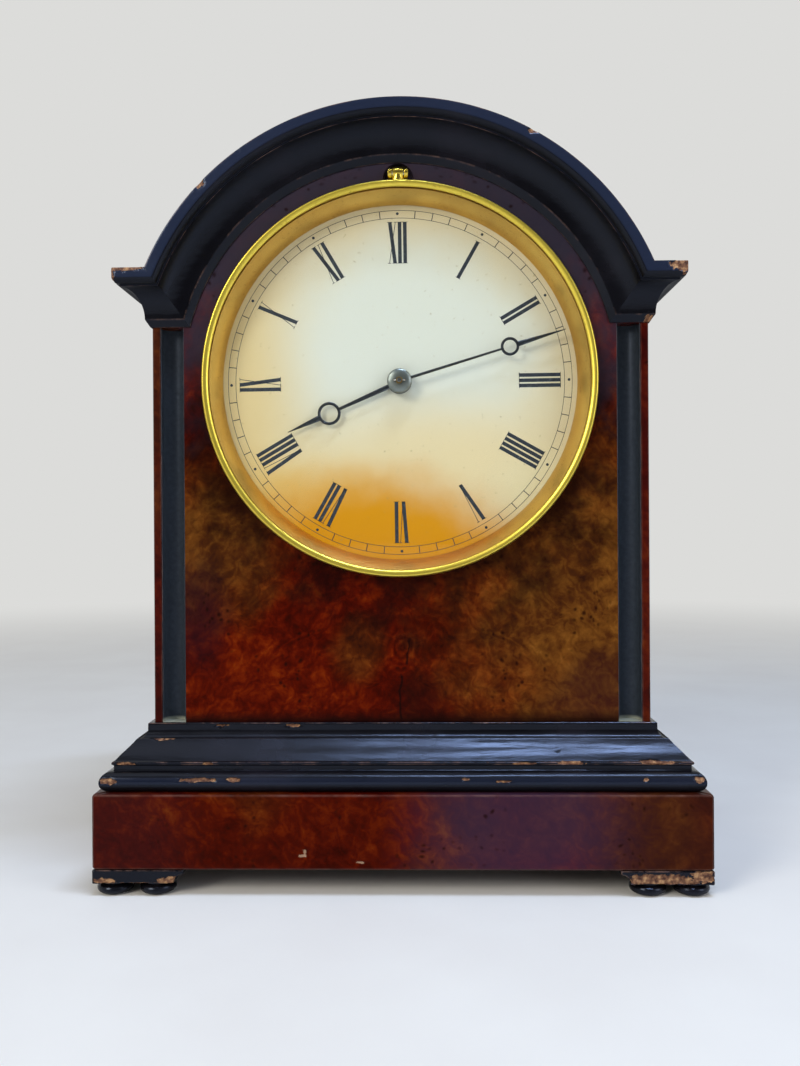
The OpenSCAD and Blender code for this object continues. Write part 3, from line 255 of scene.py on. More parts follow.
print("reds from", RED_FIGURE[0][1], "to", RED_FIGURE[-1][1])

# %% Wear, chips and polish of the walnut
RUBBED_WALNUT, RAW_WALNUT, SHELLAC = "#6a5148", "#9c7f68", "#b47a62"


def finish_walnut(tree, place, colour, shade):
    """Edge wear, raw chips and the old polish."""
    arris = add(tree, "Attribute", {"attribute_name": "arris"}, out="Fac")
    rubbed = add(tree, "TexNoise", {"Scale": per(8), "Detail": 5.0, "Roughness": 0.7}, {"Vector": place})
    rubbed = add(tree, "MapRange", {"From Min": 0.42, "From Max": 0.62, "To Min": 0.1, "To Max": 0.5},
                 {"Value": rubbed})
    rubbed = add(tree, "Math", {"operation": "MULTIPLY"}, {0: rubbed, 1: arris})
    colour = add(tree, "MixRGB", {"Color2": RUBBED_WALNUT}, {"Fac": rubbed, "Color1": colour})
    chip = add(tree, "Attribute", {"attribute_name": "chip"}, out="Fac")
    grain = add(tree, "TexNoise", {"Scale": per(0.8), "Detail": 3.0, "Roughness": 0.6}, {"Vector": place})
    torn = add(tree, "Math", {"operation": "MULTIPLY_ADD", 1: 1.2}, {0: grain, 2: chip})
    torn = add(tree, "MapRange", {"From Min": 1.2, "From Max": 1.5}, {"Value": torn})
    colour = add(tree, "MixRGB", {"Color2": RAW_WALNUT}, {"Fac": torn, "Color1": colour})
    dulled = add(tree, "TexNoise", {"Scale": per(28), "Detail": 4.0}, {"Vector": place})
    rough = add(tree, "MapRange", {"From Min": 0.35, "From Max": 0.65, "To Min": 0.26, "To Max": 0.4},
                {"Value": dulled})
    finish_material(tree, {"IOR": 1.5, "Specular IOR Level": 0.2, "Specular Tint": SHELLAC},
                    {"Base Color": colour, "Roughness": rough}, shade, 0.06, 0.12)


print("worn edges", RUBBED_WALNUT, "raw wood", RAW_WALNUT, "tint of the polish", SHELLAC)

# %% Make the burr walnut
def burr_walnut(name, stains=()):
    """Walnut veneer, red with some olive parts."""
    material, tree, place = new_material(name, "burr_walnut")
    shade, pips = walnut_figure(tree, place)
    colour = add(tree, "ValToRGB", {"Stops": RED_FIGURE}, {"Fac": shade})
    paler = add(tree, "ValToRGB", {"Stops": OLIVE_FIGURE}, {"Fac": shade})
    share = add(tree, "TexNoise", {"Scale": per(55), "Detail": 2.0}, {"Vector": place})
    share = add(tree, "MapRange", {"From Min": 0.5, "From Max": 0.68, "To Max": 0.6}, {"Value": share})
    colour = add(tree, "MixRGB", links={"Fac": share, "Color1": colour, "Color2": paler})
    drift = add(tree, "MapRange", {"To Min": -0.4, "To Max": 0.4}, {"Value": shade})
    colour = stained(tree, place, colour, stains, drift)
    colour = add(tree, "MixRGB", {"Color2": "#140302"}, {"Fac": pips, "Color1": colour})
    finish_walnut(tree, place, colour, shade)
    return material


# The first stain of each list is wider than the clock, so it darkens all of it
CASE_STAINS = [((0, 0, 120), (400, None, 400), "#210a0d", 0.52, 0.6)]
PLINTH_STAINS_AND_PAINTED_SHEEN = [
    ((0, 0, 20), (400, None, 400), "#250300", 0.35, 0.6),
    # Purple-blue at the right of the front: a painted sheen that stands for bluish light from the right
    ((36, -56, 22), (28, 40, 34), "#33263c", 0.62, 0.6),
    ((84, 0, 18), (16, None, 30), "#2c1310", 0.5, 0.6),
    ((-86, 0, 18), (20, None, 30), "#2c1014", 0.45, 0.6),
]
WALNUT = burr_walnut("burr_walnut_veneer", CASE_STAINS)
PLINTH_WALNUT = burr_walnut("burr_walnut_with_painted_sheen", PLINTH_STAINS_AND_PAINTED_SHEEN)
print("walnut nodes:", len(WALNUT.node_tree.nodes), len(PLINTH_WALNUT.node_tree.nodes))

# %% [markdown]
# ## The front panel
# The panel shows two leaves cut from the same block and opened like a book, so its figure mirrors
# about the middle, with a dark joint and one large bud on it. Sun and smoke gave it amber at the upper
# left and olive brown along the right. Above the dial it turns purple-grey, round the bezel near-black,
# which is painted shade of the bezel together with real grime, and along the corner over the moulding
# it is darker. Each of these is one soft oval of another colour, because that is how such stains spread.

# %% Make the panel's own walnut
EYE_X, EYE_Z = 0.6, DIAL_Z - 83.5
CRACK_X = 2.4
PANEL_FOOT = CASE_Z + BASE_H
PANEL_STAINS_AND_PAINTED_SHADE = [
    ((-57, 0, DIAL_Z - 48), (20, None, 22), "olive", 0.9, 0.6),
    ((66, 0, DIAL_Z - 68), (46, None, 54), "olive", 0.95, 0.6),
    ((-13, 0, DIAL_Z - 84), (7, None, 9), "olive", 0.5, 0.6),
    ((-64, 0, DIAL_Z - 72), (9, None, 15), "#1d0810", 0.75, 0.6),
    ((64, 0, PANEL_FOOT + 7), (15, None, 13), "#2a0c12", 0.5, 0.6),
    ((6, 0, PANEL_FOOT + 3), (9, None, 12), "#120304", 0.55, 0.6),
    # Near-black round the bezel: painted shade of the bezel on the panel, together with real grime
    ((0, 0, DIAL_Z), (BEZEL_R + 8, None, BEZEL_R + 10), "#0f0304", 0.8, 0.2),
    ((0, 0, DIAL_Z + 54), (150, None, 50), "#2f2d3a", 0.9, 0.6),
]
# Sideways place, lowest and highest end and half width of the joint below the bud and of its crack
PANEL_LINES = [(0.0, PANEL_FOOT, EYE_Z - 8, 0.22), (CRACK_X, EYE_Z - 6, EYE_Z + 3, 0.16)]


def panel_walnut():
    """The mirrored figure of the panel, with its bud, stains and lines."""
    material, tree, place = new_material("burr_walnut_book_matched", "burr_walnut")
    split = add(tree, "SeparateXYZ", links={0: place}).node.outputs
    leaf_x = add(tree, "Math", {"operation": "ABSOLUTE"}, {0: split["X"]})
    leaf = add(tree, "CombineXYZ", links={"X": leaf_x, "Y": split["Y"], "Z": split["Z"]})
    shade, pips = walnut_figure(tree, leaf)

    # Rings about 2.6 mm apart round the bud, bent by noise, replace the mottle near it
    from_eye = add(tree, "VectorMath", {"operation": "SUBTRACT", 1: (EYE_X * MM, 0, EYE_Z * MM)}, {0: place})
    from_eye = add(tree, "VectorMath", {"operation": "MULTIPLY", 1: (1.15, 0, 0.85)}, {0: from_eye})
    from_eye = add(tree, "VectorMath", {"operation": "LENGTH"}, {0: from_eye}, out="Value")
    wobble = add(tree, "TexNoise", {"Scale": per(5), "Detail": 3.0}, {"Vector": place})
    turns = add(tree, "Math", {"operation": "MULTIPLY", 1: 2 * math.pi * per(2.6)}, {0: from_eye})
    turns = add(tree, "Math", {"operation": "MULTIPLY_ADD", 1: 8.0}, {0: wobble, 2: turns})
    rings = add(tree, "Math", {"operation": "SINE"}, {0: turns})
    near = add(tree, "MapRange", {"From Min": 3 * MM, "From Max": 10 * MM, "To Min": 0.05, "To Max": 0.0},
               {"Value": from_eye})
    shade = add(tree, "Math", {"operation": "MULTIPLY_ADD"}, {0: rings, 1: near, 2: shade})

    colour = add(tree, "ValToRGB", {"Stops": RED_FIGURE}, {"Fac": shade})
    olive = add(tree, "ValToRGB", {"Stops": OLIVE_FIGURE}, {"Fac": shade})
    drift = add(tree, "TexNoise", {"Scale": per(14), "Detail": 4.0, "Roughness": 0.6}, {"Vector": place})
    drift = add(tree, "MapRange", {"To Min": -0.6, "To Max": 0.6}, {"Value": drift})
    colour = stained(tree, place, colour, PANEL_STAINS_AND_PAINTED_SHADE, drift, {"olive": olive})
    colour = add(tree, "MixRGB", {"Color2": "#120302"}, {"Fac": pips, "Color1": colour})

    # The two lines, and then a darker band along the corner over the moulding
    for at, low, high, wide in PANEL_LINES:
        bent = add(tree, "Math", {"operation": "MULTIPLY_ADD", 1: 3 * MM}, {0: wobble, 2: split["X"]})
        off = add(tree, "Math", {"operation": "SUBTRACT", 1: (at + 1.5) * MM}, {0: bent})
        off = add(tree, "Math", {"operation": "ABSOLUTE"}, {0: off})
        line = add(tree, "MapRange", {"From Min": wide * MM, "From Max": 2.5 * wide * MM, "To Min": 0.8,
                                      "To Max": 0.0}, {"Value": off})
        top = add(tree, "MapRange", {"From Min": (high - 1) * MM, "From Max": high * MM, "To Min": 1.0,
                                     "To Max": 0.0}, {"Value": split["Z"]})
        foot = add(tree, "MapRange", {"From Min": low * MM, "From Max": (low + 1) * MM},
                   {"Value": split["Z"]})
        line = add(tree, "Math", {"operation": "MULTIPLY"}, {0: line, 1: top})
        line = add(tree, "Math", {"operation": "MULTIPLY"}, {0: line, 1: foot})
        colour = add(tree, "MixRGB", {"Color2": "#0c0203"}, {"Fac": line, "Color1": colour})
    darker_over_moulding = add(tree, "MapRange", {"From Min": (PANEL_FOOT + 0.6) * MM, "From Max": (PANEL_FOOT + 4) * MM,
                                  "To Min": 0.85, "To Max": 0.0}, {"Value": split["Z"]})
    colour = add(tree, "MixRGB", {"Color2": "#0b0304"}, {"Fac": darker_over_moulding, "Color1": colour})
    finish_walnut(tree, place, colour, shade)
    return material


PANEL_WALNUT = panel_walnut()
print("panel stains:", len(PANEL_STAINS_AND_PAINTED_SHADE), "bud at height", round(EYE_Z, 1))

# %% [markdown]
# ## Ebonised wood
# The mouldings are a cheap pale wood stained black and polished, to look like ebony. The black sends
# back almost no light of its own, so what shows is the polish: a soft blue-grey sheen where a surface
# faces the light, rippled by the hand that rubbed it and pitted by knocks. Along the edges the stain
# has rubbed through, and chips have left raw tan wood. Those places follow the edges, which noise
# can't know, so the meshes below carry two marks, `arris` and `chip`, and the material breaks them
# up. A painted sheen, a bluish colour that stands for the reflection of a bluish light, lies where a
# moulding stands out furthest and looks to the front and a little up, so a third mark, `proud`, and
# the surface normal decide where it goes. The hollow strips at the corners are hard to reach with a
# cloth and wear a grey film of dust.

# %% Make the ebonised wood
PAINTED_SHEEN = "#232b40"
SHEEN_FACING = (0.0, -0.98, 0.2)


def ebonised(name, film=0.0):
    """Black polished wood. Film is how much dust dulls it."""
    material, tree, place = new_material(name, "ebonised_wood")
    shades = add(tree, "TexNoise", {"Scale": per(30), "Detail": 4.0, "Roughness": 0.6}, {"Vector": place})
    colour = add(tree, "ValToRGB", {"Stops": [(0.3, "#08070a"), (0.55, "#0d0c10"), (0.75, "#17141a")]},
                 {"Fac": shades})
    grain = add(tree, "TexNoise", {"Scale": per(1.4), "Detail": 4.0, "Roughness": 0.6}, {"Vector": place})
    # Painted sheen: faces that look to the front and a little up, where a moulding stands out furthest, take
    # a bluish colour that stands for the reflection of a bluish light
    normal = add(tree, "TexCoord", out="Normal")
    facing = add(tree, "VectorMath", {"operation": "DOT_PRODUCT", 1: SHEEN_FACING}, {0: normal}, out="Value")
    painted_sheen = add(tree, "MapRange", {"interpolation_type": "SMOOTHSTEP", "From Min": 0.9, "From Max": 0.985,
                                   "To Max": 0.75}, {"Value": facing})
    proud = add(tree, "Attribute", {"attribute_name": "proud"}, out="Fac")
    painted_sheen = add(tree, "Math", {"operation": "MULTIPLY"}, {0: painted_sheen, 1: proud})
    colour = add(tree, "MixRGB", {"Color2": PAINTED_SHEEN}, {"Fac": painted_sheen, "Color1": colour})
    if film:
        veil = add(tree, "MapRange", {"From Min": 0.3, "From Max": 0.7, "To Min": 0.6 * film, "To Max": film},
                   {"Value": grain})
        colour = add(tree, "MixRGB", {"Color2": "#424a52"}, {"Fac": veil, "Color1": colour})
        height = add(tree, "SeparateXYZ", links={0: place}, out="Z")
        settled = add(tree, "MapRange", {"From Min": (PANEL_FOOT + 0.25) * MM, "To Min": 0.9, "To Max": 0.0,
                                         "From Max": (PANEL_FOOT + 1.2) * MM}, {"Value": height})
        colour = add(tree, "MixRGB", {"Color2": "#9a9c8a"}, {"Fac": settled, "Color1": colour})

    arris = add(tree, "Attribute", {"attribute_name": "arris"}, out="Fac")
    patchy = add(tree, "TexNoise", {"Scale": per(10), "Detail": 6.0, "Roughness": 0.74}, {"Vector": place})
    rubbed = add(tree, "MapRange", {"From Min": 0.46, "From Max": 0.62, "To Max": 0.8}, {"Value": patchy})
    rubbed = add(tree, "Math", {"operation": "MULTIPLY"}, {0: rubbed, 1: arris})
    worn = add(tree, "ValToRGB", {"Stops": [(0.35, "#5c4a4a"), (0.65, "#8b6a58")]}, {"Fac": grain})
    colour = add(tree, "MixRGB", links={"Fac": rubbed, "Color1": colour, "Color2": worn})

    chip = add(tree, "Attribute", {"attribute_name": "chip"}, out="Fac")
    ragged = add(tree, "Math", {"operation": "MULTIPLY_ADD", 1: 0.7}, {0: grain, 2: chip})
    broken = add(tree, "MapRange", {"From Min": 0.8, "From Max": 0.92}, {"Value": ragged})
    raw = add(tree, "ValToRGB", {"Stops": [(0.36, "#42281b"), (0.5, "#76523a"), (0.64, "#ab845c")]},
              {"Fac": grain})
    colour = add(tree, "MixRGB", links={"Fac": broken, "Color1": colour, "Color2": raw})

    # Dents about 1 mm across, some 12 mm apart
    dents = add(tree, "TexVoronoi", {"Scale": per(12)}, {"Vector": place})
    dents = add(tree, "MapRange", {"From Min": 0.03, "From Max": 0.1, "To Min": -1.0, "To Max": 0.0},
                {"Value": dents})
    drawn = add(tree, "Mapping", {"Scale": (0.22, 1.0, 1.0)}, {"Vector": place})
    ripple = add(tree, "TexNoise", {"Scale": per(4.5), "Detail": 3.0}, {"Vector": drawn})
    height = add(tree, "Math", {"operation": "MULTIPLY_ADD", 1: 2.2}, {0: ripple, 2: dents})
    height = add(tree, "Math", {"operation": "SUBTRACT"}, {0: height, 1: broken})
    rough = add(tree, "MapRange", {"From Min": 0.35, "From Max": 0.65, "To Min": 0.16 + 0.4 * film,
                                   "To Max": 0.27 + 0.4 * film}, {"Value": shades})
    rough = add(tree, "Math", {"operation": "MULTIPLY_ADD", 1: 0.4}, {0: broken, 2: rough})
    # No cloth reaches the undersides, so they stay dull
    under = add(tree, "SeparateXYZ", links={0: normal}, out="Z")
    under = add(tree, "MapRange", {"From Min": -0.7, "From Max": -0.1, "To Min": 0.4, "To Max": 0.0},
                {"Value": under})
    rough = add(tree, "Math", {"operation": "ADD", "use_clamp": True}, {0: rough, 1: under})
    finish_material(tree, {"IOR": 1.5, "Specular IOR Level": 0.3, "Specular Tint": "#c3d1ee"},
                    {"Base Color": colour, "Roughness": rough}, height, 0.14, 0.6)
    return material


EBONISED = ebonised("ebonised_polish")
DUSTY_EBONISED = ebonised("ebonised_polish_under_dust", 0.5)
print("ebonised finishes:", EBONISED.name, DUSTY_EBONISED.name)

# %% [markdown]
# ## Stained pine
# The back frame, the door and the bottom board are plain pine under a brown stain. Sawn softwood has
# growth rings that show as long upright lines some millimetres apart, dark late wood between broad
# pale bands, here and there closing into an arch. The height lines of a noise that is stretched along
# the board look just like that, because the saw cuts a bent trunk in the same way.

# %% Make the stained pine
def stained_pine():
    """Sawn pine with long rings, fine fibres and soil."""
    material, tree, place = new_material("stained_pine", "pine")
    along = add(tree, "Mapping", {"Scale": (1.0, 1.0, 0.06)}, {"Vector": place})
    trunk = add(tree, "Mapping", {"Scale": (1.0, 1.0, 0.13)}, {"Vector": place})
    trunk = add(tree, "TexNoise", {"Scale": per(70), "Detail": 2.0, "Roughness": 0.35}, {"Vector": trunk})
    turns = add(tree, "Math", {"operation": "MULTIPLY", 1: 34.0}, {0: trunk})
    rings = add(tree, "Math", {"operation": "PINGPONG", 1: 1.0}, {0: turns})
    rings = add(tree, "Math", {"operation": "POWER", 1: 2.0}, {0: rings})
    fibres = add(tree, "TexNoise", {"Scale": per(0.9), "Detail": 4.0, "Roughness": 0.6}, {"Vector": along})
    shade = add(tree, "Math", {"operation": "MULTIPLY", 1: 0.4}, {0: rings})
    shade = add(tree, "Math", {"operation": "MULTIPLY_ADD", 1: 0.6}, {0: fibres, 2: shade})
    colour = add(tree, "ValToRGB", {"Stops": [(0.2, "#674424"), (0.5, "#58381c"), (0.8, "#3d2411")]},
                 {"Fac": shade})
    soil = add(tree, "TexNoise", {"Scale": per(30), "Detail": 5.0, "Roughness": 0.65}, {"Vector": place})
    soil = add(tree, "MapRange", {"From Min": 0.48, "From Max": 0.7, "To Max": 0.6}, {"Value": soil})
    colour = add(tree, "MixRGB", {"Color2": "#22130a"}, {"Fac": soil, "Color1": colour})
    arris = add(tree, "Attribute", {"attribute_name": "arris"}, out="Fac")
    arris = add(tree, "Math", {"operation": "MULTIPLY"}, {0: arris, 1: fibres})
    colour = add(tree, "MixRGB", {"Color2": "#9a7148"}, {"Fac": arris, "Color1": colour})
    rough = add(tree, "MapRange", {"To Min": 0.5, "To Max": 0.72}, {"Value": fibres})
    finish_material(tree, {"IOR": 1.5, "Specular IOR Level": 0.3},
                    {"Base Color": colour, "Roughness": rough}, fibres, 0.08)
    return material


PINE = stained_pine()
print("pine rings some millimetres apart, drawn along the board")

# %% [markdown]
# ## Metals
# Brass is copper and zinc: a metal, so its colour is in the reflection itself and the shader's
# Metallic is 1. The bezel was turned on a lathe and polished, and a century of handling has left
# brown tarnish in patches and a satin rim, while the sight ring behind the glass still has its
# golden lacquer. The movement's plates are finished with a fine brush, which spreads reflections.
# The hands are steel heated until it turned blue-black, and the collet has lost most of that
# colour. All of them share one recipe with different colours, so one function makes them.

# %% Make the metals
def metal(name, slot, bright, tarnish, most, smooth, dull, patch_mm, brush_mm=0.0):
    """A metal with tarnish in patches, from smooth where it is bright to dull where it is not.

    Brush_mm is the spacing of its brushed lines. Real ones are finer and wouldn't show.
    """
    material, tree, place = new_material(name, slot)
    patches = add(tree, "TexNoise", {"Scale": per(patch_mm), "Detail": 6.0, "Roughness": 0.62},
                  {"Vector": place})
    patches = add(tree, "MapRange", {"From Min": 0.4, "From Max": 0.68, "To Max": most}, {"Value": patches})
    spots = add(tree, "TexNoise", {"Scale": per(1.1), "Detail": 3.0}, {"Vector": place})
    specks = add(tree, "MapRange", {"From Min": 0.62, "From Max": 0.72, "To Max": 0.35}, {"Value": spots})
    amount = add(tree, "Math", {"operation": "ADD", "use_clamp": True}, {0: patches, 1: specks})
    colour = add(tree, "MixRGB", {"Color1": bright, "Color2": tarnish}, {"Fac": amount})
    rough = add(tree, "MapRange", {"To Min": smooth, "To Max": dull}, {"Value": amount})
    height = spots
    if brush_mm:
        lines = add(tree, "Mapping", {"Scale": (0.03, 1.0, 1.0)}, {"Vector": place})
        height = add(tree, "TexNoise", {"Scale": per(brush_mm), "Detail": 2.0}, {"Vector": lines})
    finish_material(tree, {"Metallic": 1.0}, {"Base Color": colour, "Roughness": rough}, height, 0.02,
                    0.3 if brush_mm else 0.12)
    return material


BRASS = metal("turned_yellow_brass", "polished_brass", "#e6cb55", "#8f7228", 0.45, 0.2, 0.34, 18)
SIGHT_BRASS = metal("lacquered_brass", "polished_brass", "#e0b863", "#b08646", 0.5, 0.32, 0.4, 26)
RIM_BRASS = metal("satin_yellow_brass", "polished_brass", "#ead356", "#a98f34", 0.35, 0.34, 0.44, 18)
MOVEMENT_BRASS = metal("brushed_brass", "movement_brass", "#c9a456", "#8f6d35", 0.5, 0.28, 0.42, 12, 0.3)
STEEL = metal("filed_bright_steel", "bright_steel", "#b9bbbd", "#6f675e", 0.5, 0.2, 0.4, 8, 0.3)
BLUED = metal("heat_blued_steel", "blued_steel", "#565b63", "#30343a", 0.7, 0.3, 0.44, 6)
GREYED = metal("worn_blued_steel", "blued_steel", "#8d9493", "#5a6262", 0.6, 0.34, 0.5, 3)
print("metals:", [m.name for m in (BRASS, SIGHT_BRASS, RIM_BRASS, MOVEMENT_BRASS, STEEL, BLUED, GREYED)])

# %% [markdown]
# ## Glass
# The bezel holds flat window glass. Looked at straight on it is almost invisible: about a twentieth
# of the light comes back. A shader that lets light straight through, with a glossy share that grows
# at glancing angles, keeps the dial bright and free of noise, where true refraction in a thin pane
# would cost many samples and look the same. Only the faces that turn to the light reflect: seen from
# inside the pane, the far face would be a total mirror at a slant and keep the lamps off the dial.
# Cloth smears make the gloss a little uneven.

# %% Make the glass
def window_glass():
    """Clear glass with a smeared gloss on its front faces."""
    material, tree, place = new_material("window_glass", "clear_glass")
    facing = add(tree, "Fresnel", {"IOR": 1.5})
    behind = add(tree, "NewGeometry", out="Backfacing")
    front = add(tree, "Math", {"operation": "SUBTRACT", 0: 1.0}, {1: behind})
    facing = add(tree, "Math", {"operation": "MULTIPLY"}, {0: facing, 1: front})
    smears = add(tree, "TexNoise", {"Scale": per(18), "Detail": 5.0, "Roughness": 0.7}, {"Vector": place})
    rough = add(tree, "MapRange", {"From Min": 0.4, "From Max": 0.8, "To Min": 0.02, "To Max": 0.12},
                {"Value": smears})
    clear = add(tree, "BsdfTransparent", {"Color": "#fbfcfb"})
    gloss = add(tree, "BsdfGlossy", {"Color": "#cfcfcf"}, {"Roughness": rough})
    both = add(tree, "MixShader", links={0: facing, 1: clear, 2: gloss})
    add(tree, "OutputMaterial", links={"Surface": both})
    return material


GLASS = window_glass()
print("glass:", GLASS.name)

# %% [markdown]
# ## Painted dial
# The dial is thin brass under cream paint with the figures printed in blue-black ink. Towards the
# bottom it goes warm and deep amber between five and seven: yellowed paint with painted warm light,
# bounced up from below, laid on it. The cool pale cream of the upper middle is a painted reflection,
# and the tan round the rim, most of all at the top and the left, is painted shade of the bezel on the
# sunken dial. Soft ovals of colour with drifting borders, laid over each other, give that.

# %% Make the dial paint and the ink
DIAL_TONES_AND_PAINTED_LIGHT = [
    # A paler middle and a cool pale upper middle: a painted reflection, which leaves the rim round them in
    # the tan of painted bezel shade
    ((0, 0, DIAL_Z), (48, None, 45), "#e9e3c8", 0.9, 0.4),
    ((4, 0, DIAL_Z + 12), (38, None, 32), "#e6e9dd", 1.0, 0.4),
    # Tan at the left edge: painted shade of the bezel
    ((-52, 0, DIAL_Z - 8), (18, None, 38), "#e8cb86", 0.6, 0.7),
    # Warm cream, gold and deep amber towards the bottom: yellowed paint with painted warm light bounced up
    # from below
    ((10, 0, DIAL_Z - 24), (36, None, 16), "#efdaa8", 0.8, 0.7),
    ((-32, 0, DIAL_Z - 40), (28, None, 15), "#eabf5c", 0.65, 0.7),
    ((-6, 0, DIAL_Z - 58), (44, None, 27), "#dd9700", 1.0, 0.42),
    ((44, 0, DIAL_Z - 34), (12, None, 12), "#efe3b8", 0.7, 0.7),
]


def dial_paint():
    """Cream paint with yellowed amber, painted light and shade, and fine dust specks."""
    material, tree, place = new_material("aged_dial_paint", "dial_paint")
    clouds = add(tree, "TexNoise", {"Scale": per(24), "Detail": 5.0, "Roughness": 0.55}, {"Vector": place})
    drift = add(tree, "MapRange", {"To Min": -0.3, "To Max": 0.3}, {"Value": clouds})
    colour = add(tree, "ValToRGB", {"Stops": [(0.35, "#d6bf92"), (0.65, "#e4d4ac")]}, {"Fac": clouds})
    colour = stained(tree, place, colour, DIAL_TONES_AND_PAINTED_LIGHT, drift)
    dust = add(tree, "TexNoise", {"Scale": per(1.5), "Detail": 4.0}, {"Vector": place})
    specks = add(tree, "MapRange", {"From Min": 0.66, "From Max": 0.76, "To Max": 0.45}, {"Value": dust})
    colour = add(tree, "MixRGB", {"Color2": "#a3925f"}, {"Fac": specks, "Color1": colour})
    rough = add(tree, "MapRange", {"To Min": 0.34, "To Max": 0.52}, {"Value": clouds})
    finish_material(tree, {"IOR": 1.5, "Specular IOR Level": 0.25},
                    {"Base Color": colour, "Roughness": rough}, dust, 0.02, 0.15)
    return material


def printing_ink():
    """Blue-black ink, greyer where it has worn thin."""
    material, tree, place = new_material("printed_ink", "dial_paint")
    wear = add(tree, "TexNoise", {"Scale": per(1.2), "Detail": 4.0}, {"Vector": place})
    colour = add(tree, "ValToRGB", {"Stops": [(0.3, "#1c2633"), (0.6, "#28323f"), (0.78, "#565c5c")]},
                 {"Fac": wear})
    finish_material(tree, {"IOR": 1.5, "Roughness": 0.5}, {"Base Color": colour}, wear, 0.01, 0.1)
    return material


PAINT = dial_paint()
INK = printing_ink()
print("dial stains:", len(DIAL_TONES_AND_PAINTED_LIGHT))

# %% [markdown]
# ## Building pieces from points
# Every piece below is a list of points in millimetres and faces between them. One function turns
# such a list into an object, welds seams, makes the normals point outwards, smooths the shading up to
# a chosen angle, gives the material and hangs the piece on its body. Marks are numbers per point,
# which the materials read as attributes.

# %% Make a piece and hang it on its body
def make(name, points, faces, material, body, stands_for=(), smooth=35, marks=None):
    """A piece from points in millimetres and faces, with its marks."""
    mesh = bpy.data.meshes.new(name)
    mesh.from_pydata([[c * MM for c in p] for p in points], [], faces)
    for mark, values in (marks or {}).items():
        mesh.attributes.new(mark, "FLOAT", "POINT").data.foreach_set("value", values)
    return hang(name, mesh, material, body, stands_for, smooth)


def hang(name, mesh, material, body, stands_for=(), smooth=35):
    """Cleans a mesh, makes its object and lets it ride on its body."""
    shape = bmesh.new()
    shape.from_mesh(mesh)
    bmesh.ops.remove_doubles(shape, verts=shape.verts, dist=1e-6)
    bmesh.ops.recalc_face_normals(shape, faces=shape.faces)
    shape.to_mesh(mesh)
    shape.free()
    mesh.shade_smooth()
    mesh.set_sharp_from_angle(angle=math.radians(smooth))
    mesh.materials.clear()
    mesh.materials.append(material)
    piece = bpy.data.objects.new(name, mesh)
    bpy.context.scene.collection.objects.link(piece)
    # Large faces decide the shading, so a flat stays flat right up to its eased edge
    flats = piece.modifiers.new("flats_stay_flat", "WEIGHTED_NORMAL")
    flats.mode = "FACE_AREA"
    flats.weight = 100
    flats.keep_sharp = True
    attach(piece, body)
    if stands_for:
        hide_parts(*stands_for)
    return piece


# %% Join a grid of points
def strip_faces(rows, columns, closed_rows=False, closed_columns=False, start=0):
    """Faces of a grid of points stored row by row."""
    faces = []
    for i in range(rows if closed_rows else rows - 1):
        for k in range(columns if closed_columns else columns - 1):
            j, m = (i + 1) % rows, (k + 1) % columns
            faces.append((start + i * columns + k, start + i * columns + m,
                          start + j * columns + m, start + j * columns + k))
    return faces


print("a grid of 3 by 4 points has", len(strip_faces(3, 4)), "faces")

# %% [markdown]
# ## Eased corners
# No real edge is perfectly sharp: a plane, a file or a cloth has taken it off, and the thin line of
# light that an edge catches is what makes wood look solid. This function rounds each corner of an
# outline with a short curve, and notes how much of an outer arris each new point is, from 0 to 1.

# %% Ease an outline
def eased(outline, radius, steps=3, closed=True):
    """The outline with rounded corners, and how sharp an arris each of its points is."""
    count = len(outline)
    area = sum(outline[i][0] * outline[(i + 1) % count][1] - outline[(i + 1) % count][0] * outline[i][1]
               for i in range(count))
    side = 1 if area > 0 else -1
    result, sharp = [], []
    for i, corner in enumerate(outline):
        here = Vector(corner)
        if not closed and i in (0, count - 1):
            result.append(tuple(here))
            sharp.append(0.0)
            continue
        before, after = Vector(outline[i - 1]), Vector(outline[(i + 1) % count])
        back, on = before - here, after - here
        turning = side * (on.x * back.y - on.y * back.x) / max(back.length * on.length, 1e-9)
        if abs(turning) < 0.3:
            result.append(tuple(here))
            sharp.append(0.0)
            continue
        cut = min(radius, 0.45 * back.length, 0.45 * on.length)
        first, last = here + back.normalized() * cut, here + on.normalized() * cut
        for k in range(steps + 1):
            t = k / steps
            point = first * (1 - t) ** 2 + here * 2 * t * (1 - t) + last * t ** 2
            result.append(tuple(point))
            sharp.append(max(0.0, turning) * math.sin(math.pi * t))
    return result, sharp


print("a square corner becomes", len(eased([(0, 0), (1, 0), (1, 1), (0, 1)], 0.2)[0]) // 4, "points")

# %% Split, close and bend outlines
def finely(outline, sharp, longest=0.5):
    """Splits the long stretches of a profile's visible side, so that chips find points to move."""
    points, marks = [], []
    for i, (here, mark) in enumerate(zip(outline, sharp)):
        after = outline[(i + 1) % len(outline)]
        split = math.ceil(math.dist(here, after) / longest) if min(here[0], after[0]) > 1 else 1
        points += [tuple(Vector(here).lerp(Vector(after), k / max(split, 1))) for k in range(max(split, 1))]
        marks += [mark] + [0.0] * (max(split, 1) - 1)
    return points, marks


def end_face(outline, start):
    """Triangles that close a hollow outline, whose points are numbered from start."""
    flat = [Vector((p, h, 0.0)) for p, h in outline]
    return [tuple(start + i for i in corners) for corners in tessellate_polygon([flat])]


def arc(centre, radius, start, end, steps):
    """Points of an arc, from start to end degrees."""
    turns = [math.radians(start + (end - start) * i / steps) for i in range(steps + 1)]
    return [(centre[0] + radius * math.cos(a), centre[1] + radius * math.sin(a)) for a in turns]


def quarter_turn(steps, first=0):
    """Angles in radians from 0 to 90 degrees, starting at a given step."""
    return [math.radians(90 * i / steps) for i in range(first, steps + 1)]


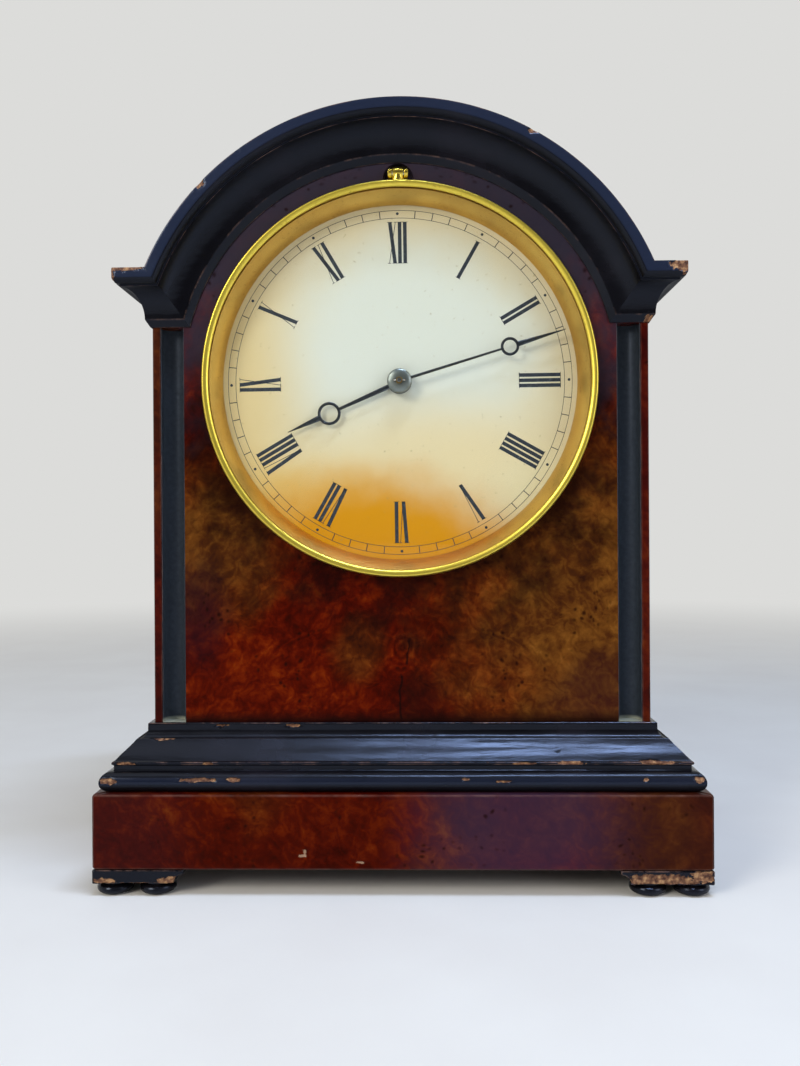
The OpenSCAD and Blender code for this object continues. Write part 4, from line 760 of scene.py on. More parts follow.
def circle_angles(steps):
    """Angles in radians all the way round."""
    return [2 * math.pi * i / steps for i in range(steps)]


print("a quarter turn in 4 steps:", [round(math.degrees(a), 1) for a in quarter_turn(4)])

# %% [markdown]
# ## Moulding profiles
# A moulding is one outline pushed along a path. The base moulding steps up from a half round through
# a quirk, a small fillet and a long ogee to a hollow and its top fillet. The cornice and the arch
# share one outline: a chamfer, a deep hollow, a quarter round and a broad fillet. Each outline counts
# how far it stands out from the case and how high it is, so one profile serves front, sides and arch.

# %% Draw the two profiles
def base_profile():
    """From the case's foot up: half round, quirk, fillet, ogee, hollow and top fillet."""
    round_r, hollow_r, ogee_wave = 3.05, 2.7, 0.02
    foot_p, top_p, quirk_p, fillet_p = BASE_P - 3.8, 4.3, BASE_P - 3.6, BASE_P - 3.0
    low = 2 * round_r
    ogee_low, ogee_high = low + 2.8, BASE_H - 4.3
    ogee = [(foot_p + (top_p - foot_p) * t,
             ogee_low + (ogee_high - ogee_low) * (t + ogee_wave * math.sin(2 * math.pi * t)))
            for t in [i / 24 for i in range(25)]]
    outline = [(0, 0), (BASE_P - round_r, 0)]
    outline += arc((BASE_P - round_r, round_r), round_r, -78, 80, 14)
    outline += [(quirk_p, low), (quirk_p, low + 1.6), (fillet_p, low + 1.8), (fillet_p, low + 2.6)]
    outline += ogee
    outline += arc((top_p, BASE_H - 2.0), hollow_r, -90, -172, 8)
    outline += [(1.6, BASE_H), (0, BASE_H)]
    return finely(*eased(outline, 0.35))


def cornice_profile():
    """From the case's top up: chamfer, deep hollow, quarter round and broad fillet."""
    chamfer_p, chamfer_h, round_p, round_h = 1.8, 2.2, 2.2, 1.7
    step_p, hollow_top = CORNICE_P - round_p, CORNICE_H - 5.3
    hollow_p, step_h = step_p - 0.4, hollow_top + 0.6
    outline = [(0, 0), (0.4, 0), (chamfer_p, chamfer_h)]
    outline += [(chamfer_p + (hollow_p - chamfer_p) * (1 - math.cos(a)),
                 chamfer_h + (hollow_top - chamfer_h) * math.sin(a)) for a in quarter_turn(18, 1)]
    outline += [(step_p, hollow_top), (step_p, step_h)]
    outline += [(step_p + round_p * math.sin(a), step_h + round_h * (1 - math.cos(a)))
                for a in quarter_turn(8, 1)]
    outline += [(CORNICE_P, CORNICE_H), (0, CORNICE_H)]
    return finely(*eased(outline, 0.4))


BASE = base_profile()
CORNICE = cornice_profile()
print("base profile", len(BASE[0]), "points, cornice profile", len(CORNICE[0]), "points")

# %% [markdown]
# ## Pushing a profile along its path
# A place function turns projection, height and the share of the way into a point, so mitres need no
# cutting: at a mitre the end of the way simply depends on the projection. Knocks are laid on as
# ellipsoids. Inside one, the wood is pushed back a little and marked as chipped, with noise in the
# distance so that no two chips have the same border.

# %% Sweep with chips
def knock(point, chips):
    """How deep a point lies in the chips, from 0 to 1. Each chip is a centre and three half sizes."""
    depth = 0.0
    for centre, half in chips:
        away = math.sqrt(sum(((p - c) / h) ** 2 for p, c, h in zip(point, centre, half)))
        if away < 1.6:
            away += 0.45 * noise.noise(Vector(point) * 0.9) + 0.25 * noise.noise(Vector(point) * 2.7)
            depth = max(depth, min(1.0, max(0.0, (1.15 - away) / 0.3)))
    return depth


def moulding(name, profile, place, stations, chips=(), bite=0.45, painted_sheen_share=1.0, body="case", stands_for=()):
    """A length of moulding, with chips that are bite millimetres deep and a share of the painted sheen."""
    outline, sharp = profile
    furthest = max(p for p, h in outline)
    points, arris, chipped, proud = [], [], [], []
    for i in range(stations + 1):
        t = i / stations
        for (p, h), edge in zip(outline, sharp):
            deep = knock(place(p, h, t), chips) if chips else 0.0
            points.append(place(p - bite * deep if p > bite else p, h, t))
            arris.append(edge)
            chipped.append(deep)
            # The share of the painted sheen grows with how far a point stands out
            proud.append(painted_sheen_share * min(1.0, max(0.0, (p / furthest - 0.75) / 0.15)))
    width = len(outline)
    faces = strip_faces(stations + 1, width, closed_columns=True)
    faces += end_face(outline, 0) + end_face(outline, stations * width)
    return make(name, points, faces, EBONISED, body, stands_for or (name,), 30,
                {"arris": arris, "chip": chipped, "proud": proud})


print("depth in the middle of a knock:", knock((0, 0, 0), [((0, 0, 0), (1, 1, 1))]))

# %% [markdown]
# ## Base moulding
# Three lengths with mitred front corners. The chips are those of the real clock: the largest on the
# ogee's left end, a row of them along the half round, and rubbed places along both fillets.

# %% Build the base moulding
OGEE_Y, FILLET_Y, ROUND_Y = PANEL_Y - 6.0, PANEL_Y - 10.4, PANEL_Y - 13.4
FRONT_CHIPS = [
    ((-73.4, OGEE_Y, 45.3), (4.6, 2.4, 0.75)),
    ((-61.0, ROUND_Y, 34.5), (5.6, 2.0, 0.62)),
    ((-50.2, ROUND_Y, 34.5), (1.9, 2.0, 0.6)),
    ((-88.5, ROUND_Y, 34.1), (2.6, 2.5, 0.9)),
    ((-56.0, PANEL_Y - 1.7, 48.6), (1.9, 1.2, 0.4)),
    ((-33.5, PANEL_Y - 1.7, 48.6), (2.4, 1.2, 0.4)),
    ((-58.5, FILLET_Y, 38.7), (1.8, 1.0, 0.45)),
    ((-84.0, FILLET_Y, 38.7), (3.0, 1.0, 0.45)),
    ((-48.0, OGEE_Y, 45.6), (0.5, 2.0, 0.4)),
    ((19.5, ROUND_Y, 34.7), (0.9, 1.5, 0.4)),
    ((37.0, FILLET_Y, 38.7), (4.0, 1.0, 0.35)),
    ((51.5, FILLET_Y, 38.9), (4.4, 1.2, 0.6)),
    ((77.0, FILLET_Y, 38.9), (5.0, 1.2, 0.7)),
    ((31.0, ROUND_Y, 34.1), (2.4, 1.5, 0.3)),
    ((73.0, ROUND_Y, 34.6), (0.9, 1.5, 0.5)),
    ((89.0, ROUND_Y, 34.5), (1.4, 2.0, 0.9)),
    ((75.5, OGEE_Y, 46.3), (2.6, 2.4, 0.4)),
]
SIDE_CHIPS = [
    ((BODY_X + 13.2, 6.0, 34.6), (2.0, 5.0, 0.6)),
    ((BODY_X + 10.2, -22.0, 38.9), (1.4, 4.0, 0.5)),
    ((BODY_X + 13.0, 41.0, 34.2), (2.0, 3.0, 0.8)),
]


def front_place(p, h, t):
    """A point of the front length, which grows longer with the projection p."""
    reach = BODY_X + p
    return (-reach + 2 * reach * t, PANEL_Y - p, CASE_Z + h)


def side_place(side, low):
    """The place function of a side length, on the left for side -1, from the height low."""
    def place(p, h, t):
        start = PANEL_Y - p
        return (side * (BODY_X + p), start + (BACK_Y - start) * t, low + h)
    return place


SIDES = ((-1, "left"), (1, "right"))
moulding("base_moulding_front_dressed", BASE, front_place, 340, FRONT_CHIPS, painted_sheen_share=0.5,
         stands_for=("base_moulding_front",))
for side, word in SIDES:
    chips = [((side * x, y, z), half) for (x, y, z), half in SIDE_CHIPS[::side]]
    moulding(f"base_moulding_{word}_dressed", BASE, side_place(side, CASE_Z), 160, chips, painted_sheen_share=0.5,
             stands_for=(f"base_moulding_{word}",))
print("base moulding:", len(FRONT_CHIPS), "chips along the front")

# %% [markdown]
# ## Arch moulding and cornices
# Over the dial the same cornice outline is bent round the arch. It meets two short level lengths at
# mitres, and these turn the corner into the side cornices. At a mitre each point of the outline ends
# where its own circle crosses the mitre line, found from a quadratic equation.

# %% Find the mitres of the arch
CORNICE_RISE = CORNICE_Z - DIAL_Z
ARCH_OUT = ARCH_IN + CORNICE_H
MITRE_LOW = math.sqrt(ARCH_IN ** 2 - CORNICE_RISE ** 2)
MITRE_HIGH = math.sqrt(ARCH_OUT ** 2 - (CORNICE_RISE + CORNICE_H) ** 2)


def mitre_x(h):
    """Distance of the mitre from the middle of the clock, at a height above the cornice's foot."""
    return MITRE_LOW + (MITRE_HIGH - MITRE_LOW) * h / CORNICE_H


def mitre_angle(h):
    """Angle from the vertical at which the circle of height h in the profile meets the mitre."""
    run, radius = MITRE_HIGH - MITRE_LOW, ARCH_IN + h
    a = run ** 2 + CORNICE_H ** 2
    b = 2 * (MITRE_LOW * run + CORNICE_RISE * CORNICE_H)
    c = ARCH_IN ** 2 - radius ** 2
    u = (-b + math.sqrt(b * b - 4 * a * c)) / (2 * a)
    return math.atan2(MITRE_LOW + u * run, CORNICE_RISE + u * CORNICE_H)


print("mitre from", round(MITRE_LOW, 2), "to", round(MITRE_HIGH, 2), "mm beside the middle")

# %% Build the arch and the cornices
def arch_place(p, h, t):
    """A point of the arch, from its left mitre to its right one."""
    angle = mitre_angle(h) * (2 * t - 1)
    radius = ARCH_IN + h
    return (radius * math.sin(angle), PANEL_Y - p, DIAL_Z + radius * math.cos(angle))


def return_place(side):
    """The place function of a short level length, from its mitre to the corner of the case."""
    def place(p, h, t):
        start, end = mitre_x(h), BODY_X + p
        return (side * (start + (end - start) * t), PANEL_Y - p, CORNICE_Z + h)
    return place


ARCH_CHIPS = [
    ((15.0, PANEL_Y - CORNICE_P, DIAL_Z + ARCH_OUT - 0.4), (3.0, 2.0, 0.6)),
    ((41.0, PANEL_Y - CORNICE_P, DIAL_Z + 73.0), (1.6, 1.2, 0.9)),
    ((-60.0, PANEL_Y - CORNICE_P, DIAL_Z + 58.5), (1.2, 1.5, 1.4)),
    ((-33.0, PANEL_Y - 7.0, DIAL_Z + 73.0), (0.9, 0.9, 0.9)),
]
HORN_CHIPS = {
    -1: [((-85.5, PANEL_Y - 9.0, CORNICE_Z + 16.2), (9.0, 3.5, 0.9)),
         ((-87.6, PANEL_Y - 8.0, CORNICE_Z + 13.5), (1.2, 4.0, 2.4))],
    1: [((87.6, PANEL_Y - 9.0, CORNICE_Z + 15.4), (5.6, 4.0, 2.8)),
        ((77.5, PANEL_Y - 1.5, CORNICE_Z + 1.0), (2.0, 2.0, 1.4))],
}
moulding("arch_moulding_dressed", CORNICE, arch_place, 300, ARCH_CHIPS, stands_for=("arch_moulding",))
for side, word in SIDES:
    moulding(f"cornice_front_{word}_dressed", CORNICE, return_place(side), 50, HORN_CHIPS[side], 0.3,
             stands_for=(f"cornice_front_{word}",))
    moulding(f"cornice_side_{word}_dressed", CORNICE, side_place(side, CORNICE_Z), 130, HORN_CHIPS[side],
             0.3, stands_for=(f"cornice_side_{word}",))
print("arch from", round(ARCH_IN, 2), "to", round(ARCH_OUT, 2), "mm from the dial's centre")

# %% [markdown]
# ## Softening the carried-over boards
# The boards of the model have the right shape but perfectly sharp edges. A copy of such a board, with
# its flat triangles merged and its sharp edges bevelled by a few tenths of a millimetre, catches the
# light like planed wood and stands for the model's board. The middle line of each bevel is marked as
# arris, so the polish can look rubbed there.

# %% Bevel a copy of a node
def beside(edge, centre, reach_mm):
    """Whether an edge passes a point nearer than a distance."""
    start, end = [v.co / MM for v in edge.verts]
    nearest, share = intersect_point_line(Vector(centre), start, end)
    nearest = start.lerp(end, min(1.0, max(0.0, share)))
    return (nearest - Vector(centre)).length < reach_mm


def softened(node, width_mm, material, chips=(), segments=2, bite=0.4):
    """Replaces a node by its own shape with eased edges, and with chips where they are given."""
    mesh = frame["nodes"][node].data.copy()
    mesh.name = node + "_eased"
    shape = bmesh.new()
    shape.from_mesh(mesh)
    bmesh.ops.remove_doubles(shape, verts=shape.verts, dist=2e-6)
    bmesh.ops.dissolve_limit(shape, angle_limit=math.radians(0.5), verts=shape.verts, edges=shape.edges)
    sharp = [e for e in shape.edges if len(e.link_faces) == 2 and e.calc_face_angle() > math.radians(28)]
    made = bmesh.ops.bevel(shape, geom=sharp, offset=width_mm * MM, segments=segments, profile=0.5,
                           affect="EDGES", clamp_overlap=True)
    bevelled = set(made["faces"])
    arris = shape.verts.layers.float.new("arris")
    for v in shape.verts:
        v[arris] = 1.0 if v.link_faces and all(f in bevelled for f in v.link_faces) else 0.0
    if chips:
        # Edges near a chip are halved again and again, until some 0.4 mm long
        bmesh.ops.triangulate(shape, faces=shape.faces)
        for longest in (24, 12, 6, 3, 1.5, 0.8, 0.4):
            near = [e for e in shape.edges if e.calc_length() > longest * MM and any(
                beside(e, centre, 1.5 * max(half) + 2 * longest) for centre, half in chips)]
            bmesh.ops.subdivide_edges(shape, edges=near, cuts=1)
            bmesh.ops.triangulate(shape, faces=[f for f in shape.faces if len(f.verts) > 3])
        mark = shape.verts.layers.float.new("chip")
        shape.normal_update()
        for v in shape.verts:
            deep = knock(tuple(v.co / MM), chips)
            v[mark] = deep
            v.co -= v.normal * bite * deep * MM
    shape.to_mesh(mesh)
    shape.free()
    return hang(node + "_eased", mesh, material, BODY_OF[node], (node,), 40)


BODY_OF = {node: body for body, nodes in frame["record"]["behaviour"]["bodies"].items() for node in nodes}
print("bodies:", sorted(set(BODY_OF.values())))

# %% [markdown]
# ## Case boards
# The front panel, the sides, the plinth and the roof are veneered, the back is pine, and the hollow
# strips at the corners are ebonised. The plinth carries a crescent nick and some smaller ones.

# %% Dress the case boards
PLINTH_CHIPS = [
    ((-29.9, PLINTH_Y, 12.1), (1.7, 1.0, 0.55)),
    ((-28.5, PLINTH_Y, 12.9), (0.55, 1.0, 1.1)),
    ((-12.2, PLINTH_Y, 10.4), (1.1, 1.0, 0.5)),
    ((-29.3, PLINTH_Y, 23.0), (0.5, 1.0, 0.5)),
]
softened("plinth_front", 0.8, PLINTH_WALNUT, PLINTH_CHIPS)
for node in ("plinth_left", "plinth_right", "plinth_back"):
    softened(node, 0.8, PLINTH_WALNUT)
softened("front_panel", 0.3, PANEL_WALNUT)
for node in ("side_left", "side_right", "roof"):
    softened(node, 0.5, WALNUT)
for node in ("corner_hollow_left", "corner_hollow_right"):
    softened(node, 0.12, DUSTY_EBONISED)
for node in ("base_board", "back_frame", "back_door"):
    softened(node, 0.5, PINE)

# %% [markdown]
# ## Finishes for the carried-over nodes
# Nodes whose shape needs nothing more keep their mesh and take the finish of their slot.

# %% Give each node its finish
FINISH = {
    "burr_walnut": WALNUT, "pine": PINE, "ebonised_wood": EBONISED, "polished_brass": BRASS,
    "movement_brass": MOVEMENT_BRASS, "bright_steel": STEEL, "blued_steel": BLUED,
    "clear_glass": GLASS, "dial_paint": PAINT,
}
for part in frame["record"]["subparts"]:
    for slot in frame["nodes"][part["node"]].material_slots:
        slot.material = FINISH[part["material_slot"]]
print("finishes:", sorted(FINISH))

# %% [markdown]
# ## Turned brass: bezel, sight ring and glass
# The bezel is a ring with a rounded rim, turned in one piece. Behind its glass a sight ring, a shallow
# polished cone, leads down to the dial and mirrors the minute marks. Turned work has to be perfectly
# smooth, so these rings get 256 steps. The rim is one round nose with a satin finish, which spreads
# its light over the whole width.

# %% Turn the rim
def turned(profile, steps=256, closed=True):
    """Points and faces of an outline of radius and y, turned about the dial's axis."""
    points = []
    for a in circle_angles(steps):
        points += [(r * math.sin(a), y, DIAL_Z + r * math.cos(a)) for r, y in profile]
    return points, strip_faces(steps, len(profile), True, closed)


glass_low, glass_high = box_mm("bezel_glass")
sight_high = box_mm("sight_ring")[1]
BEZEL_BACK = PANEL_Y - 0.3
OPENING_R = BEZEL_R - 2.3
GROOVE_R = BEZEL_R - 1.1
GLASS_FRONT = BEZEL_FRONT + 0.9

# The rim's section is highest on its crest and falls from there in two quarters of an ellipse
CREST_R = BEZEL_R - 0.75
OUTER_FALL, INNER_FALL = 1.7, 0.8
rim = [(GROOVE_R, BEZEL_BACK), (BEZEL_R, BEZEL_BACK)]
rim += [(CREST_R + (BEZEL_R - CREST_R) * math.cos(t), BEZEL_FRONT + OUTER_FALL - OUTER_FALL * math.sin(t))
        for t in quarter_turn(12)]
rim += [(CREST_R - (CREST_R - OPENING_R) * math.sin(t), BEZEL_FRONT + INNER_FALL - INNER_FALL * math.cos(t))
        for t in quarter_turn(12, 1)]
rim += [(OPENING_R, GLASS_FRONT), (GROOVE_R, GLASS_FRONT)]
points, faces = turned(rim)
make("bezel_rim", points, faces, RIM_BRASS, "bezel", smooth=40)
print("bezel from radius", round(OPENING_R, 2), "to", round(BEZEL_R, 2))

# %% Turn the sight ring
# The cone flares towards the front, so that the minute ring is mirrored in its inner third
SEEN_R = 56.2
SIGHT_BACK = sight_high.y
SIGHT_DEEP = SIGHT_BACK - glass_high.y
SIGHT_WALL, SIGHT_LIP = 0.6, 0.5
CONE_SLOPE, CONE_FLARE = 0.25, 1.5241
flare = [(SEEN_R + CONE_SLOPE * s + CONE_FLARE * (s / SIGHT_DEEP) ** 2, SIGHT_BACK - s)
         for s in [SIGHT_DEEP * i / 14 for i in range(15)]]
lip_y = glass_high.y + SIGHT_LIP
cone = flare[:-1] + [(OPENING_R, glass_high.y), (sight_high.x, glass_high.y), (sight_high.x, lip_y),
                     (OPENING_R + SIGHT_WALL, lip_y)]
cone += [(r + SIGHT_WALL, y) for r, y in flare[-4:0:-3]] + [(SEEN_R + SIGHT_WALL, SIGHT_BACK)]
points, faces = turned(cone)
make("sight_ring_turned", points, faces, SIGHT_BRASS, "bezel", ("sight_ring",), 30)
print("sight ring", round(SIGHT_DEEP, 2), "mm deep, dial seen to radius", SEEN_R)

# %% Set the glass
pane = [(0, glass_low.y), (glass_high.x, glass_low.y), (glass_high.x, glass_high.y), (0, glass_high.y)]
outline, _ = eased(pane, 0.3, 2, closed=False)
points, faces = turned(outline, 128, closed=False)
make("bezel_glass_pane", points, faces, GLASS, "bezel", ("bezel_glass",), 30)
print("glass", round(glass_high.y - glass_low.y, 2), "mm thick")

# %% [markdown]
# ## Bezel hinge
# At twelve o'clock the bezel's knuckle sits between two ears in a notch of the panel. A lug with a
# rounded front joins it to the rim, so that from the front it all shows as one small brass dome. The
# pin runs through all three.

# %% Build the hinge
pin_low, pin_high = box_mm("bezel_hinge_pin")
HINGE_Y = (pin_low.y + pin_high.y) / 2
HINGE_Z = (pin_low.z + pin_high.z) / 2


def bar_along_x(stations, y, z, steps):
    """A round bar about an axis along x. A station is its place on the axis and its radius."""
    points = []
    for x, r in stations:
        points += [(x, y + r * math.sin(a), z + r * math.cos(a)) for a in circle_angles(steps)]
    last = (len(stations) - 1) * steps
    faces = strip_faces(len(stations), steps, closed_columns=True)
    return points, faces + [tuple(range(steps)), tuple(range(last, last + steps))]


KNUCKLE_HALF, KNUCKLE_R, KNUCKLE_BELLY = 1.6, 1.9, 0.1
knuckle = [(-KNUCKLE_HALF + 2 * KNUCKLE_HALF * t, KNUCKLE_R + KNUCKLE_BELLY * math.sin(math.pi * t))
           for t in [k / 8 for k in range(9)]]
points, faces = bar_along_x(knuckle, HINGE_Y, HINGE_Z, 40)
make("bezel_knuckle", points, faces, BRASS, "bezel", ("bezel_ring",), 50)

# The lug gets narrower upwards, and its front stands as far out as the knuckle
LUG_FOOT, LUG_TAPER = 2.5, 0.95
low, high = DIAL_Z + BEZEL_R - 0.6, HINGE_Z
rows, columns = 7, 21
points = []
for k in range(rows):
    t = k / (rows - 1)
    half = LUG_FOOT - LUG_TAPER * math.sin(math.pi / 2 * t)
    points += [(half * math.cos(a), BEZEL_BACK - (BEZEL_BACK - HINGE_Y + KNUCKLE_R) * math.sin(a) ** 0.6,
                low + (high - low) * t) for a in [math.pi * i / (columns - 1) for i in range(columns)]]
faces = strip_faces(rows, columns, closed_columns=True)
faces += [tuple(range(columns)), tuple(range((rows - 1) * columns, rows * columns))]
make("bezel_neck", points, faces, BRASS, "bezel", smooth=50)
softened("bezel_hinge_block", 0.45, BRASS, segments=4)
print("hinge axis at", round(HINGE_Y, 2), round(HINGE_Z, 2))

# %% [markdown]
# ## Dial print
# The figures are radial, with their feet to the centre, and built from a few strokes: thick bars,
# thin hairlines and fine serifs at both ends. Each figure is drawn flat, in millimetres sideways and
# a share of its height, then turned to its hour. A minute ring of two fine circles holds the ticks,
# with a dot in place of the tick at every fifth minute. The print lies a hair above the paint.

# %% Draw strokes on the dial
INK_Y = DIAL_Y - 0.02
DIAL_TURN = -0.45
FOOT_R, HEAD_R = 37.8, 51.0
BAR, HAIR, SERIF = 1.15, 0.2, 0.16
STROKES = {
    "I": (1.66, [((0, 0), (0, 1), BAR)]),
    "V": (3.1, [((0.15, 0), (-0.78, 1), BAR), ((0.35, 0), (1.2, 1), HAIR)]),
    "X": (3.0, [((0.78, 0), (-0.78, 1), BAR), ((-1.0, 0), (1.0, 1), HAIR)]),
}
FIGURES = ["XII", "I", "II", "III", "IIII", "V", "VI", "VII", "VIII", "IX", "X", "XI"]
ink_points, ink_faces = [], []


def on_dial(u, radius, angle):
    """A point of the print: u millimetres clockwise of the ray at an angle in degrees, at a radius."""
    a = math.radians(angle + DIAL_TURN)
    return (radius * math.sin(a) + u * math.cos(a), INK_Y, DIAL_Z + radius * math.cos(a) - u * math.sin(a))


def ink(corners):
    """Adds one flat face of ink."""
    ink_faces.append(tuple(range(len(ink_points), len(ink_points) + len(corners))))
    ink_points.extend(corners)


def figure(text, angle):
    """Prints a figure on the ray at an angle in degrees."""
    tall = HEAD_R - FOOT_R
    widths = [STROKES[letter][0] for letter in text]
    at = -sum(widths) / 2
    for letter, wide in zip(text, widths):
        middle = at + wide / 2
        for (u0, v0), (u1, v1), thick in STROKES[letter][1]:
            ends = [(middle + u0, FOOT_R + tall * v0), (middle + u1, FOOT_R + tall * v1)]
            half = thick / 2
            ink([on_dial(u + s * half, r, angle) for (u, r), s in
                 ((ends[0], -1), (ends[0], 1), (ends[1], 1), (ends[1], -1))])
            for (u, r), v in zip(ends, (v0, v1)):
                if letter == "V" and v == 0:
                    continue
                reach = half + (0.28 if thick == BAR else 0.42)
                inside = r + (SERIF if v == 0 else -SERIF)
                ink([on_dial(u + s * reach, q, angle) for s, q in
                     ((-1, r), (1, r), (1, inside), (-1, inside))])
        at += wide


def circle_line(radius, steps=360):
    """Prints one of the fine circles."""
    inner, outer = radius - CIRCLE_W / 2, radius + CIRCLE_W / 2
    for i in range(steps):
        a, b = 360 * i / steps, 360 * (i + 1) / steps
        ink([on_dial(0, r, t) for r, t in ((inner, a), (outer, a), (outer, b), (inner, b))])


RING_IN, RING_OUT, DOT_AT = 52.2, 54.6, 53.6
CIRCLE_W, TICK_HALF, DOT_R = 0.16, 0.13, 0.45
print("figures", HEAD_R - FOOT_R, "mm tall, minute ring", 2 * RING_OUT, "mm across")

# %% Print the dial
for hour, text in enumerate(FIGURES):
    figure(text, 30 * hour)
circle_line(RING_IN)
circle_line(RING_OUT)
for minute in range(60):
    if minute % 5:
        ink([on_dial(u, r, 6 * minute) for u, r in
             ((-TICK_HALF, RING_IN), (TICK_HALF, RING_IN), (TICK_HALF, RING_OUT), (-TICK_HALF, RING_OUT))])
    else:
        ink([on_dial(DOT_R * math.cos(t), DOT_AT + DOT_R * math.sin(t), 6 * minute)
             for t in circle_angles(16)])
make("dial_print", ink_points, ink_faces, INK, "case", smooth=30)
print("print:", len(ink_faces), "strokes and segments")

# %% [markdown]
# ## Hands
# Each hand is filed from blued steel: a slim arm, an open ring and a leaf-shaped point. The arms are
# flat behind and bevelled in front, so their section has five sides, and lofting that section along
# the hand gives arm and point. The ring is turned about its own centre.

# %% File the hands
MINUTES_SHOWN = 12.2
BEVEL = 0.25
RING_BEVEL = 0.22
POINT_W = 0.14


def hand_piece(name, node, body, angle, length, ring_at, ring_r, wall, boss_r, root_w, neck_w, tip_w):
    """A hand at an angle in degrees past twelve: an arm from root to neck, a ring, and a leaf to the tip."""
    low, high = box_mm(node)
    back_y, front_y = high.y, low.y
    a = math.radians(angle)
    points, faces = [], []

    def put(u, v, y):
        """The place of u millimetres clockwise of the hand's line, v along it."""
        return (v * math.sin(a) + u * math.cos(a), y, DIAL_Z + v * math.cos(a) - u * math.sin(a))

    def loft(stations):
        """Joins sections. A station is its distance along the hand and its width."""
        start, last = len(points), 6 * (len(stations) - 1)
        for v, width in stations:
            half = width / 2
            section = [(-half, back_y), (-half, front_y + BEVEL), (-half * 0.45, front_y),
                       (half * 0.45, front_y), (half, front_y + BEVEL), (half, back_y)]
            points.extend([put(u, v, y) for u, y in section])
        faces.extend(strip_faces(len(stations), 6, closed_columns=True, start=start))
        faces.append(tuple(range(start, start + 6)))
        faces.append(tuple(range(start + last, start + last + 6)))

    def turn_ring(at, inner, outer, steps):
        """A flat ring about a point of the hand's line."""
        start = len(points)
        mid, half = (inner + outer) / 2, (outer - inner) / 2
        section = [(inner, back_y), (inner, front_y + RING_BEVEL), (mid - half * 0.4, front_y),
                   (mid + half * 0.4, front_y), (outer, front_y + RING_BEVEL), (outer, back_y)]
        for t in circle_angles(steps):
            points.extend([put(r * math.sin(t), at + r * math.cos(t), y) for r, y in section])
        faces.extend(strip_faces(steps, 6, True, True, start))

    root, neck = boss_r + 0.5, ring_at - ring_r + wall * 0.6
    loft([(boss_r * 0.5, root_w), (root, root_w)] +
         [(root + (neck - root) * i / 6, root_w + (neck_w - root_w) * i / 6) for i in range(1, 7)])
    leaf = ring_at + ring_r - wall * 0.6
    loft([(leaf + (length - leaf) * t, tip_w * (1 - t) ** 0.85 + POINT_W)
          for t in (0, 0.12, 0.3, 0.5, 0.7, 0.85, 0.95, 1)])
    turn_ring(ring_at, ring_r - wall, ring_r, 64)
    turn_ring(0, 1.2, boss_r, 64)
    return make(name, points, faces, BLUED, body, (node,), 25)


hand_piece("minute_hand_filed", "minute_hand", "centre_arbor", 6 * MINUTES_SHOWN, length=54.5, ring_at=36.3,
           ring_r=2.9, wall=0.85, boss_r=3.0, root_w=0.9, neck_w=0.65, tip_w=1.5)
hand_piece("hour_hand_filed", "hour_hand", "hour_pipe", 240 + MINUTES_SHOWN / 2, length=38.7, ring_at=24.4,
           ring_r=3.65, wall=0.9, boss_r=3.85, root_w=1.5, neck_w=0.9, tip_w=1.7)
print("hands show", MINUTES_SHOWN, "minutes past eight")

# %% [markdown]
# ## Collet
# A domed washer and a cross pin hold the minute hand on its shaft. The bright end of the shaft shows
# in the middle of the dark dome.

# %% Turn the collet
collet_low, collet_high = box_mm("hand_collet")
COLLET_BACK = collet_high.y
HOLE_R, COLLET_R = 1.02, 3.85
COLLET_EDGE, COLLET_DOME = 0.25, 0.95
dome = [(HOLE_R, COLLET_BACK), (COLLET_R, COLLET_BACK), (COLLET_R, COLLET_BACK - COLLET_EDGE)]
dome += [(HOLE_R + (COLLET_R - HOLE_R) * math.cos(t), COLLET_BACK - COLLET_EDGE - COLLET_DOME * math.sin(t))
         for t in quarter_turn(12, 1)]
outline, _ = eased(dome, 0.12, 2)
points, faces = turned(outline, 96)
make("hand_collet_dome", points, faces, GREYED, "centre_arbor", ("hand_collet",), 40)

PIN_Y = COLLET_BACK - COLLET_EDGE - COLLET_DOME - 0.35
SHAFT_R = 0.98
shaft = [(0, PIN_Y - 0.42), (0.75, PIN_Y - 0.36), (SHAFT_R, PIN_Y - 0.1), (SHAFT_R, PIN_Y + 0.9),
         (0, PIN_Y + 0.9)]
points, faces = turned(shaft, 48, closed=False)
make("centre_shaft_end", points, faces, STEEL, "centre_arbor", smooth=40)
points, faces = bar_along_x([(-1.9, 0.22), (-1.8, 0.3), (1.8, 0.3), (1.9, 0.22)], PIN_Y, DIAL_Z, 24)
make("collet_pin", points, faces, STEEL, "centre_arbor", smooth=40)
print("collet from", round(COLLET_BACK, 2), "to", round(collet_low.y, 2))

# %% [markdown]
# ## Feet
# Under the plinth stand four L-shaped brackets, stained black, on small turned glides. They take most
# of the knocks, so their lower edges are bare wood in places, the right front one nearly all along.

# %% Dress the feet
FOOT_CHIPS = [
    ((-89.0, PLINTH_Y, 4.7), (3.0, 1.6, 0.9)),
    ((-80.0, PLINTH_Y, 3.9), (8.0, 1.6, 0.4)),
    ((-69.0, PLINTH_Y, 4.8), (3.6, 1.6, 1.2)),
    ((77.0, PLINTH_Y, 5.2), (12.0, 2.0, 1.8)),
    ((89.0, PLINTH_Y, 6.3), (3.5, 2.0, 1.9)),
]
softened("foot_brackets", 0.5, EBONISED, FOOT_CHIPS)
print("chips on the feet:", len(FOOT_CHIPS))

# %% [markdown]
# ## Floor
# The clock stands on a plain pale floor, like a sheet of card. Far away the floor fades into the
# colour of the background, so no horizon cuts the picture. Only camera, mirror and glass rays see
# that glow, so it puts no light on the clock.

# %% Lay the floor
BACKGROUND = "#dcdcda"
FLOOR_REACH = 6.0
FADE_FROM, FADE_TO = 0.2, 1.3


